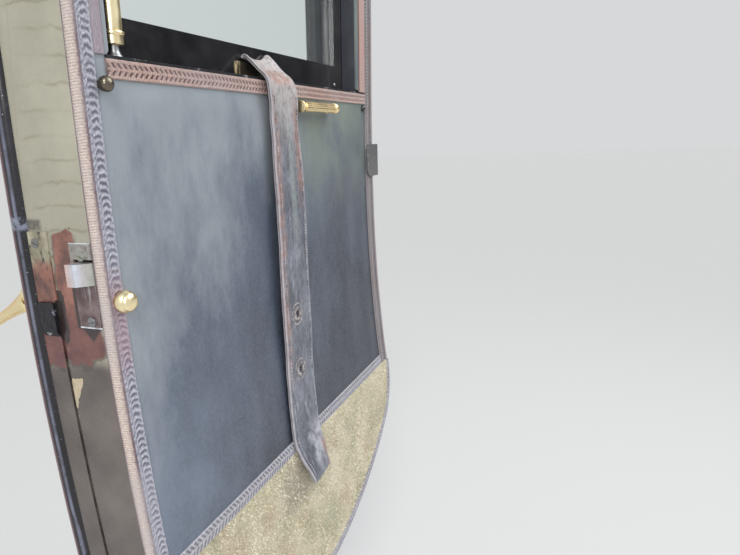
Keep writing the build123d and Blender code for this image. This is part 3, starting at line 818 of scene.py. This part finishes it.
def flat_ribs(pitch, lengthwise):
    """A flat woven strip: cross ribs, or cords along its length."""

    def weave(s, c):
        across, along = ripple(s / pitch + 0.6 * abs(c)), ripple(3.0 * c)
        rib = across + (along - across) * lengthwise
        thread = 0.42 + 0.42 * rib * (1 - 0.4 * lengthwise) + 0.3 * grain(s / 3, 7 * c, 9.0)
        thread -= 0.5 * ease(abs(c), 0.86, 0.97)
        return 1.5 + 0.7 * thread, clamp(thread)

    return weave


def braid_and_cord(split):
    """Flat braid beside a proud cord, in one strip parted at the share split."""
    braid, cord = herringbone(5.2, 0.9, 0.9), cord_ribs(2.8, 2.2)

    def weave(s, c):
        if c < split:
            return braid(s, 2 * (c + 1) / (split + 1) - 1)
        return cord(s, 2 * (c - split) / (1 - split) - 1)

    return weave


def trim(name, node, along, across, weave, cols, step, material, slot, wander=0.5, level=False):
    """A strip that runs up the door, or level across it, between two ends along and two edges across. Its
    rows are step mm long, and all but its outer edges wander a little."""
    drift_by = (9.0, 60) if level else (5.0, 38)

    def face(u, v):
        s = along[0] + u * (along[1] - along[0])
        t = across[0] + v * (across[1] - across[0]) + (fuzz(s, *drift_by, wander) if 0 < v < 1 else 0.0)
        height, thread = weave(s - along[0], 2 * v - 1)
        return (*((s, t) if level else (t, s)), height, s, thread)

    rows = round((along[1] - along[0]) / step)
    slab(name, rows, cols, face, material=material, stands_for=node, slot=slot)


window_run, sill_run = (WIN_Z0, WIN_Z1), (SILL_X0, HINGE_GIMP)
trim(
    "lock_braid", "lock_gimp", (TRIM_FOOT, TRIM_TOP), (-WIDE, LOCK_GIMP), plait(6.3),
    16, 0.9, braids["grey_braid"], "braid_dark",
)
trim(
    "sill_braid", "top_gimp", sill_run, (GIMP_LOW, GIMP_TOP), herringbone(6.6, 1.1, 0.62),
    18, 0.9, braids["copper_braid"], "braid_brown", level=True,
)
trim(
    "carpet_braid", "carpet_gimp", (LOCK_GIMP, HINGE_GIMP), (CARPET_Z, CARPET_Z + CARPET_GIMP),
    herringbone(6.4, 1.0, 0.86), 18, 0.8, braids["violet_braid"], "braid_dark", level=True,
)
trim(
    "post_braid_lock", "post_strip_lock", window_run, (LOCK_GIMP, LOCK_GIMP + 12), flat_ribs(2.2, 0.9),
    12, 2.2, braids["mauve_braid"], "braid_pink", 0.2,
)
trim(
    "post_braid_hinge", "post_strip_hinge", window_run, (HINGE_GIMP - 24, HINGE_GIMP), flat_ribs(2.2, 0.5),
    18, 1.1, braids["pink_braid"], "braid_pink", 0.2,
)
trim(
    "hinge_braid", "hinge_gimp", (CARPET_Z, TRIM_TOP), (HINGE_GIMP, -2.0), braid_and_cord(0.27),
    26, 0.9, braids["hinge_braid"], "braid_pink", 0.3,
)

# The ribbed cord on the shut face stands out towards the lock side and wraps round the corner.
TAPE_FROM, TAPE_TO = -2.2, 11.6
tape_weave = cord_ribs(2.35, 1.6)


def on_shut_face(off, z, height):
    return (-WIDE - height, depth(off, z), z)


def tape_face(u, v):
    z = TRIM_FOOT + u * (TRIM_TOP - TRIM_FOOT)
    height, thread = tape_weave(z, 2 * v - 1)
    off = TAPE_FROM + v * (TAPE_TO - TAPE_FROM) + 0.4 * grain(z / 40, 0.0, 3.0) * math.sin(math.pi * v)
    return off, z, 0.75 * height, z, thread


slab(
    "edge_cord", 1500, 14, tape_face, put=on_shut_face,
    material=braids["tan_cord"], stands_for="edge_tape", slot="braid_pink",
)


# Carpet, its pile and the binding round the swept corner.
CARPET_FOOT = FOOT_Z + BINDING
PILE_FACES, PILE_BASE = 140000, 1.7


def carpet_face(u, v):
    z = CARPET_FOOT + u ** 1.5 * (CARPET_Z - CARPET_FOOT)
    x = LOCK_GIMP + v * (hinge_side(z, BINDING) - LOCK_GIMP)
    free = min(1.0, 12 * v, 12 * (1 - v)) * min(1.0, 12 * u, 12 * (1 - u))
    return x, z, 1.9 + free * (0.5 + fuzz(x, z, 30, 0.7) + fuzz(x, z, 6, 0.5)), x, 0.5


carpet = slab("carpet_face", 90, 150, carpet_face, material=ground, stands_for="carpet", slot="carpet")


def tufts():
    """Short leaning fibres over the carpet, each a thin spike with its own shade."""
    verts, faces, shade = [], [], []
    while len(faces) < PILE_FACES:
        z = CARPET_FOOT + rnd.random() * (CARPET_Z - CARPET_FOOT)
        x = LOCK_GIMP + rnd.random() * -LOCK_GIMP
        if x > hinge_side(z, BINDING + 1):
            continue
        lean, a = rnd.uniform(0.8, 3.4), rnd.uniform(0, 2 * math.pi)
        wide, tall = rnd.uniform(0.35, 0.8), rnd.uniform(1.6, 3.0)
        n = len(verts)
        verts += [lie(x + dx * wide, z + dz * wide, PILE_BASE) for dx, dz in ((-1, 0), (1, 0), (0, 1))]
        verts.append(lie(x + lean * math.cos(a), z + lean * math.sin(a) - 0.7, PILE_BASE + tall))
        clump = 0.5 + 1.1 * grain(x / 4, z / 4, 0.0)
        shade += [(0.0, 0.0, clamp(0.5 * clump + 0.5 * rnd.random()))] * 4
        faces += [(n, n + 1, n + 3), (n + 1, n + 2, n + 3), (n + 2, n, n + 3), (n, n + 2, n + 1)]
    return verts, faces, shade


finish_piece(mesh_piece("carpet_tufts", *tufts()), pile, slot="carpet")


def binding_path():
    """Points and inward normals along the door's foot and swept corner, from the lock edge."""
    start, steps = LOCK_GIMP + 2, 90
    path = [((start + (SWEEP_X - start) * i / steps, FOOT_Z), (0, 1)) for i in range(steps)]
    for centre, radius, a0, a1, n in (
        ((SWEEP_X, FOOT_Z + SWEEP_R), SWEEP_R, -math.pi / 2, -SWING, 180),
        ((-CORNER_R, CORNER_Z), CORNER_R, -SWING, -0.02, 50),
    ):
        for i in range(n):
            a = a0 + (a1 - a0) * i / n
            way = (math.cos(a), math.sin(a))
            path.append(((centre[0] + radius * way[0], centre[1] + radius * way[1]), (-way[0], -way[1])))
    return path


bind = binding_path()


def binding_face(u, v):
    (x, z), (nx, nz) = bind[round(u * (len(bind) - 1))]
    s = 1000 * u
    rib = ripple(s / 9.3)
    height = 1.6 + 3.0 * math.sin(math.pi * (0.12 + v * 0.86)) ** 0.6 + 0.3 * rib
    thread = clamp(0.35 + 0.3 * rib + fuzz(s, 30 * v, 4, 0.4))
    return x + nx * BINDING * v, z + nz * BINDING * v, height, s, thread


slab(
    "foot_binding", len(bind) - 1, 10, binding_face,
    material=braids["violet_braid"], stands_for="bottom_binding", slot="braid_dark",
)

# Lift strap: a folded hide strap with sewn edges, cupped over the sill.
STRAP_X, STRAP_T = -0.524 * WIDE, 3.5
STRAP_HOLES, HOLE_R = ((-340.2, -226.0), (-342.6, -304.0)), 4.6
FRONT, REAR = -1, 1
LOCK_WAY, CAR_WAY, OUT_WAY, HINGE_WAY = (-1, 0, 0), (0, -1, 0), (0, 1, 0), (1, 0, 0)


def rounded(points, radii):
    """A polyline with its corners turned to arcs, as points a few millimetres apart."""
    path = [Vector(points[0])]
    for (a, b, c), r in zip(zip(points, points[1:], points[2:]), radii):
        a, b, c = Vector(a), Vector(b), Vector(c)
        p, q = (a - b).normalized(), (c - b).normalized()
        half = math.acos(max(-1, min(1, p.dot(q)))) / 2
        reach, centre = r / math.tan(half), b + (p + q).normalized() * r / math.sin(half)
        start, end = b + p * reach - centre, b + q * reach - centre
        sweep = start.angle_signed(end)
        n = max(4, int(abs(sweep) * r / 2.5))
        path += [centre + Matrix.Rotation(-sweep * i / n, 2) @ start for i in range(n + 1)]
    path.append(Vector(points[-1]))
    full = [path[0]]
    for p, q in zip(path, path[1:]):
        n = max(1, round((q - p).length / 1.9))
        full += [p + (q - p) * i / n for i in range(1, n + 1)]
    return full


strap_root = depth(26, 108) - STRAP_T / 2
route = rounded(
    [(strap_root, 96.5), (strap_root, 101), (-13.4, 74), (-11.8, -300), (-17, -398), (-38, -458)],
    (2.2, 18, 400, 60),
)
below_sill = [i for i, p in enumerate(route) if p.y < 55]
lengths = [0.0]
for p, q in zip(route, route[1:]):
    lengths.append(lengths[-1] + (q - p).length)


def strap_half(z):
    """Half width: narrow where it is cupped over the sill, and pinched near its end."""
    wide = 36.3 - 9.5 * ease(z, 50, 104) - 3.0 * pulse(z, -10, 60, 25)
    return wide - 7.0 * (1 - ease(z, -455, -398))


def strap_centre(z):
    return STRAP_X + 3.5 * pulse(z, -150, 10, 50) - 6 * (1 - ease(z, -390, -250)) - 6 * ease(z, 40, 95)


def strap_spot(i, c, side):
    """The strap's point at step i of its route, share c across and side half thicknesses behind its middle,
    and the way that faces out of it there."""
    p = route[i]
    tangent = (route[min(i + 1, len(route) - 1)] - route[max(i - 1, 0)]).normalized()
    out = Vector((tangent.y, -tangent.x))
    z, s, a = p.y, lengths[i], abs(c)
    t = side * STRAP_T / 2
    if side == FRONT:
        t += 0.45 * pulse(a, 0.74, 0.8, 0.03) - 0.55 * pulse(a, 0.83, 0.97, 0.04)
        t += 0.5 * pulse(c, 0.03, 0.09, 0.03) * (1 - ease(z, 30, 60)) - fuzz(c * 40, s, 26, 0.7)
    rise = (4.0 if c < 0 else 8.0) * pulse(z, 90, 140, 9) * c * c
    lift = 2.0 * pulse(z, 40, 96, 14) * c * c - 3.0 * (1 - ease(z, -458, -420)) * c
    x = strap_centre(z) + c * strap_half(z) + 0.8 * grain(s / 34, 0.0, 2.0 + c)
    return Vector((x, p.x + (lift - t) * out.x, p.y + (lift - t) * out.y + rise)), out


def strap_section():
    """Share across, side and thread height once round the strap; its sides are split by a dark groove."""
    cols = 30
    front = [(0.99 * (2 * j / cols - 1), FRONT, 0.5) for j in range(cols + 1)]
    edge = [(1.0, -0.45, 0.9), (0.955, -0.12, 0.0), (0.955, 0.12, 0.0), (1.0, 0.45, 0.9)]
    other = [(-c, side, h) for c, side, h in reversed(edge)]
    return front + edge + [(c, REAR, h) for c, _, h in reversed(front)] + other


def strap_mesh():
    section, verts, weave = strap_section(), [], []
    for i, along in enumerate(lengths):
        for c, side, height in section:
            verts.append(strap_spot(i, c, side)[0])
            weave.append((along / 1000, c, height))
    return mesh_piece("strap_leather", verts, tube_faces(len(route), len(section)), weave)


def copy_weave(old, new):
    """Gives each point of new the weave of the nearest point of old."""
    tree = KDTree(len(old.vertices))
    for v in old.vertices:
        tree.insert(v.co, v.index)
    tree.balance()
    if "weave" in new.attributes:
        new.attributes.remove(new.attributes["weave"])
    weave = new.attributes.new("weave", "FLOAT_VECTOR", "POINT")
    for v in new.vertices:
        weave.data[v.index].vector = old.attributes["weave"].data[tree.find(v.co)[1]].vector


def cut(ob, cutter):
    """Takes cutter's solid out of ob and removes it."""
    mod = ob.modifiers.new("cut", "BOOLEAN")
    mod.object, mod.operation, mod.solver = cutter, "DIFFERENCE", "EXACT"
    data = bpy.data.meshes.new_from_object(ob.evaluated_get(bpy.context.evaluated_depsgraph_get()))
    old = ob.data
    ob.modifiers.clear()
    ob.data = data
    bpy.data.objects.remove(cutter)
    if "weave" in old.attributes:
        copy_weave(old, data)


def turned(name, place, axis, profile, sides=40, flutes=0):
    """A closed turning about axis through place, from (height, radius) pairs in millimetres. Radii that carry
    a third value are scalloped by it."""
    z = Vector(axis).normalized()
    x = z.orthogonal().normalized()
    y = z.cross(x)
    place = Vector(place)
    verts = []
    for h, r, *scallop in profile:
        for k in range(sides):
            a = 2 * math.pi * k / sides
            reach = r - (scallop[0] * abs(math.cos(flutes * a / 2)) ** 3 if scallop else 0)
            verts.append(place + z * h + x * reach * math.cos(a) + y * reach * math.sin(a))
    return mesh_piece(name, verts, tube_faces(len(profile), sides))


def between(p, q, r, s, t):
    """The share t of the way from q to r, on a smooth curve through all four."""
    return q + 0.5 * ((r - p) * t + (2 * p - 5 * q + 4 * r - s) * t * t + (3 * q - p - 3 * r + s) * t ** 3)


def curve_profile(points, steps=6):
    """A smooth run of points through the given ones."""
    pts = [points[0], *points, points[-1]]
    out = []
    for four in zip(pts, pts[1:], pts[2:], pts[3:]):
        out += [tuple(between(*values, i / steps) for values in zip(*four)) for i in range(steps)]
    return out + [points[-1]]


strap = strap_mesh()
for x, z in STRAP_HOLES:
    cut(strap, turned("cutter", (x, -40, z), OUT_WAY, [(0, HOLE_R), (60, HOLE_R)], 28))
finish_piece(strap, strap_hide, "lift_strap", "hide", sharp=60)


def strap_front(z):
    """y of the strap's face at height z below the sill."""
    i = min(below_sill, key=lambda j: abs(route[j].y - z))
    return strap_spot(i, 0.0, FRONT)[0].y


def ring(name, x, y, z, radius, thick, ribs, flat):
    """A sewn ring round a button hole, a little taller than wide, with its stitches as ribs."""
    around, section, stretch, stand = ribs * 4, 8, 1.08, 0.1
    verts = []
    for i in range(around):
        a = 2 * math.pi * i / around
        fat = thick * (0.8 + 0.25 * math.cos(ribs * a))
        for k in range(section):
            b = 2 * math.pi * k / section
            r, rise = radius + fat * math.cos(b), stand + flat * fat * math.sin(b)
            verts.append((x + r * math.cos(a), y - rise, z + stretch * r * math.sin(a)))
    finish_piece(mesh_piece(name, verts, tube_faces(around, section, closed=True)), eyelet, slot="hide")


for i, (x, z) in enumerate(STRAP_HOLES, 1):
    y = strap_front(z)
    ring(f"strap_eye_{i}", x, y, z, 7.2, 2.6, 18, 0.8)
    ring(f"strap_eye_seam_{i}", x, y + 0.2, z, 13.4, 1.6, 24, 0.6)


def stitches(name, share, count, long, wide, high):
    """A row of short threads down the strap's face, at a share across it."""
    verts, faces, sides = [], [], 6
    ends = ((-1, 0.35), (-0.5, 1), (0.5, 1), (1, 0.35))
    for i in range(count):
        j = below_sill[min(2 * i, len(below_sill) - 2)]
        point, facing = strap_spot(j, share, FRONT)
        run = (strap_spot(j + 1, share, FRONT)[0] - point).normalized()
        out = Vector((0, facing.x, facing.y))
        side = run.cross(out)
        faces += tube_faces(len(ends), sides, len(verts))
        for t, w in ends:
            for k in range(sides):
                a = 2 * math.pi * k / sides
                round_it = side * math.cos(a) * wide * w + out * math.sin(a) * high * w
                verts.append(point + run * t * long / 2 + round_it)
    finish_piece(mesh_piece(name, verts, faces), waxed_thread, slot="hide")


seam = len(below_sill) // 2 - 2
stitches("strap_seam_lock", -0.74, seam, 3.0, 0.85, 0.9)
stitches("strap_seam_hinge", 0.85, seam - 20, 3.0, 0.95, 1.0)


# Brass and small hardware that the photo shows rounder than the solids.
def button(name, x, z, off, points, material, *details, sides=40):
    """A turned button on the door's inner side, standing off mm outward of the leather."""
    ob = turned(name, (x, depth(off, z), z), CAR_WAY, curve_profile(points), sides)
    finish_piece(ob, material, *details)


button(
    "shade_button", -626, 52, 0,
    [(0, 3.4), (1.2, 3.2), (2.4, 4.7), (4.6, 6.0), (7.3, 6.5), (10.0, 5.8), (12.0, 3.8), (12.9, 1.4),
     (13.1, 0.1)],
    old_brass, "ball_stud", "brass",
)
button(
    "door_knob", *KNOB, -3,
    [(0, 5.6), (0.9, 7.6), (3.2, 9.7), (6.4, 10.1), (8.6, 9.4), (10.2, 8.6), (11.4, 8.3), (12.9, 7.2),
     (14.1, 5.3), (14.8, 2.9), (15.1, 0.1)],
    brass, "inner_knob", "brass", "handle",
)
button(
    "black_button", HINGE_GIMP - 8, 50, 0,
    [(0, 4.6), (0.8, 5.1), (2.6, 5.0), (4.2, 3.8), (5.0, 1.6), (5.2, 0.1)],
    coach, "black_stud", "steel_dark", sides=28,
)

PULL_X, PULL_Z, HANDLE_Y = -0.461 * WIDE, 45, 104
LEVER = [  # out from the boss, below the spindle, slope down, radius, as in the solids
    (2.5, 3, 12, 8.2), (9, 8.2, 27, 8.6), (27, 17.5, 27, 5.9), (48, 28.2, 29, 4.8), (66, 39, 40, 4.5),
    (76, 50, 65, 4.7), (79, 66, 88, 5.4), (79, 92, 90, 7.2), (79, 110, 90, 6.2), (79, 115, 90, 3.5),
]
LEVER_TIP = (79, 116.6, 90, 1.0)


def drop_handle():
    sides = 28
    rings = [*curve_profile(LEVER, 5), LEVER_TIP]
    verts = []
    for out, below, slope, r in rings:
        a = math.radians(slope)
        over = Vector((0, math.sin(a), math.cos(a)))
        for k in range(sides):
            b = 2 * math.pi * k / sides
            way = Vector(HINGE_WAY) * math.cos(b) + over * math.sin(b)
            verts.append(Vector((KNOB[0], HANDLE_Y + out, KNOB[1] - below)) + way * r)
    ob = mesh_piece("drop_handle", verts, tube_faces(len(rings), sides))
    finish_piece(ob, brass, "outer_lever", "brass", "handle")


def handle_boss():
    boss = curve_profile([(0, 7.5), (3.2, 7.6), (5.6, 6.4), (6.9, 3.4), (7.1, 0.1)])
    ob = turned("handle_boss", (KNOB[0], HANDLE_Y, KNOB[1]), OUT_WAY, boss)
    finish_piece(ob, brass, slot="brass", body="handle")


def brass_bar():
    """The fluted pull between a bell and a cap, on two feet."""
    bell = curve_profile([(0.0, 7.4), (0.4, 8.0), (2.0, 7.6), (5.5, 6.3), (9.5, 5.3), (11.0, 5.5)], 5)
    body = [(11.2, 6.5, 0.4)] + [(12 + 90 * i / 12, 6.5, 0.6) for i in range(13)] + [(103.6, 6.5, 0.4)]
    cap = [(103.8, 6.9), (104.6, 7.5), (112.2, 7.5), (113.5, 6.9), (114, 5.4), (114, 0.1)]
    place = (PULL_X, depth(-13, PULL_Z), PULL_Z)
    bar = turned("fluted_pull", place, HINGE_WAY, [(0.0, 0.1), *bell, *body, *cap], 120, 10)
    finish_piece(bar, brass, "pull_bar", "brass")
    foot = [(-0.4, 6.6), (1.2, 6.4), (3.0, 4.6), (9.5, 4.2)]
    for name, x in (("pull_foot_1", 6), ("pull_foot_2", 109)):
        button(name, PULL_X + x, PULL_Z, 0, foot, brass, (), "brass")


def brass_rod():
    """The upright rod beside the window, collared at each end over a dark foot."""
    long = (WIN_Z1 - WIN_Z0) / math.cos(LEAN)
    up_rod = Vector((0, -math.sin(LEAN), math.cos(LEAN)))
    place = Vector((WIN_X0 + 16, depth(9, WIN_Z0), WIN_Z0))
    collar = [
        (10.6, 0.1), (10.6, 8.0), (11.2, 8.6), (18.0, 8.7), (18.5, 9.4), (19.2, 9.7), (20.6, 9.7),
        (21.4, 9.3), (22.0, 8.4),
    ]
    rod = collar + [(long - h, r) for h, r in reversed(collar)]
    finish_piece(turned("brass_rod", place, up_rod, rod, 56), brass, "blind_rod", "brass")
    cone = curve_profile([(0.3, 7.2), (1.6, 6.8), (5.0, 4.9), (10.9, 4.3)])
    for name, base, way in (("rod_foot", place, up_rod), ("rod_head", place + up_rod * long, -up_rod)):
        finish_piece(turned(name, base, way, cone), dull_steel, slot="steel_dark")


brass_bar()
brass_rod()
drop_handle()
handle_boss()


def screw(name, place, way, radius, material, slot_turn, dome, stands_for=()):
    """A slotted round head sitting on place and facing way."""
    high = radius * dome
    head = curve_profile([(0, radius), (0.7 * high, radius), (high, 0.72 * radius), (1.3 * high, 0.05)], 4)
    ob = turned(name, place, way, head, 24)
    z = Vector(way).normalized()
    along = Matrix.Rotation(slot_turn, 3, z) @ z.orthogonal().normalized()
    side = z.cross(along)
    top = Vector(place) + z * 1.3 * high
    box = [top + along * a * radius * 1.2 + side * b * radius * 0.13 + z * d * radius * 0.3
           for a in (-1, 1) for b in (-1, 1) for d in (-1, 1)]
    box_faces = [(0, 1, 3, 2), (4, 6, 7, 5), (0, 4, 5, 1), (2, 3, 7, 6), (0, 2, 6, 4), (1, 5, 7, 3)]
    cut(ob, mesh_piece("slot", box, box_faces))
    finish_piece(ob, material, stands_for, "steel", sharp=30)


screw("plate_screw_top", (-647, 23, -88), LOCK_WAY, 4.3, plate_paint, 0.4, 0.3, "lock_screw_1")
screw("plate_screw_foot", (-647, 21, -146.5), LOCK_WAY, 4.5, dull_steel, 0.9, 0.3, "lock_screw_2")
screw("wear_screw", (-646.5, 73.9, -77.7), LOCK_WAY, 4.2, dull_steel, 0.3, 0.2)
screw("dovetail_screw", (-648.2, 72, -158.5), LOCK_WAY, 3.6, dull_steel, 0.8, 0.3)
for i, z in enumerate((-16, -30, -45, -59), 1):
    screw(f"keeper_screw_{i}", (-31, depth(-5, -37.5) + 0.2, z), CAR_WAY, 2.7, dull_steel, 0.5 * i, 0.4)
screw("sash_screw", (-98, depth(26, 87), 87), CAR_WAY, 2.6, bright_steel, 0.2, 0.4)
for i, z in enumerate((60, -170, -365), 1):
    for j, (y, dz) in enumerate(((40, -26), (62, 0), (40, 26)), 1):
        screw(f"leaf_screw_{i}_{j}", (3.0, y, z + dz), HINGE_WAY, 3.6, dull_steel, i + j, 0.25)

# Felt of the glass channels, whose front lies FELT_FRONT and back FELT_BACK mm outward of the leather.
FELT_FOOT, FELT_RUN, FELT_WIDE, FELT_FRONT, FELT_BACK = 30, 555, 3, 26.2, 50


def felt_channel(side, x0):
    def face(u, v):
        z = FELT_FOOT + u * FELT_RUN
        return x0 + FELT_WIDE * v, z, -FELT_FRONT - fuzz(z, 9 * v, 9, 0.2), z, 0.5

    slab(
        f"felt_channel_{side}", 120, 4, face, -FELT_BACK,
        material=felt, stands_for=f"felt_run_{side}", slot="felt",
    )


felt_channel("lock", -620.0)
felt_channel("hinge", -63.0)

# Floor, lamps and world.
FLOOR_SIZE, FLOOR_Z = 60, -0.86
bpy.ops.mesh.primitive_plane_add(size=FLOOR_SIZE, location=(0, 0, FLOOR_Z))
floor = bpy.context.object
floor.name = "floor"
floor.data.materials.append(Mat("floor", (0.71, 0.71, 0.705), 0.8).m)


def lamp(name, kind, place, target, power, colour, size=None):
    """A disc or sun lamp at place that points at target; size is in metres, or radians of the sun's width."""
    data = bpy.data.lights.new(name, kind)
    data.energy, data.color = power, colour
    if kind == "SUN":
        data.angle = size
    else:
        data.shape, data.size = "DISK", size
    ob = bpy.data.objects.new(name, data)
    scene.collection.objects.link(ob)
    ob.location = place
    ob.rotation_euler = (Vector(target) - Vector(place)).to_track_quat("-Z", "Y").to_euler()


mid = (-0.37, -0.06, 0.2)
lamp("sun", "SUN", (-2.6, -1.3, 2.4), mid, 1.42, (1.0, 0.98, 0.95), math.radians(24))
lamp("sheen", "AREA", (0.62, -1.25, 1.55), (-0.5, -0.1, 0.15), 14, (0.90, 0.95, 1.0), 1.5)
lamp("side", "AREA", (-2.2, -1.0, 0.6), mid, 8, (1, 1, 1), 0.5)


def studio_world():
    """Pale to the eye. The light it gives has a soft bright quarter above and a darker one below it."""
    world = bpy.data.worlds.new("world")
    scene.world = world
    world.use_nodes = True
    w = Nodes(world.node_tree)
    where = w.new("ShaderNodeTexCoord", {}).outputs["Generated"]
    quarters = []
    for way, inner, outer, low, high in (
        ((0.82, -0.56, 0.10), 0.80, 0.96, 1.0, 0.12), ((0.50, -0.62, 0.62), 0.84, 0.97, 0.0, 2.6),
    ):
        vectors = {0: where, 1: Vector(way).normalized()}
        towards = w.new("ShaderNodeVectorMath", vectors, operation="DOT_PRODUCT").outputs["Value"]
        quarters.append(w.span(towards, inner, outer, low, high))
    path = w.new("ShaderNodeLightPath", {}).outputs
    plain = w.most(path["Is Camera Ray"], path["Is Transmission Ray"])
    shade = w.new("ShaderNodeMix", {0: plain, 2: w.plus(*quarters), 3: 1.0}).outputs[0]
    level = w.span(w.most(plain, path["Is Glossy Ray"]), 0.0, 1.0, 0.52, 0.70, "LINEAR")
    glow = w.t.nodes["Background"]
    w.feed(glow.inputs["Color"], (0.96, 0.98, 1.0))
    w.feed(glow.inputs["Strength"], w.times(shade, level))


studio_world()
scene.view_settings.view_transform = "Standard"
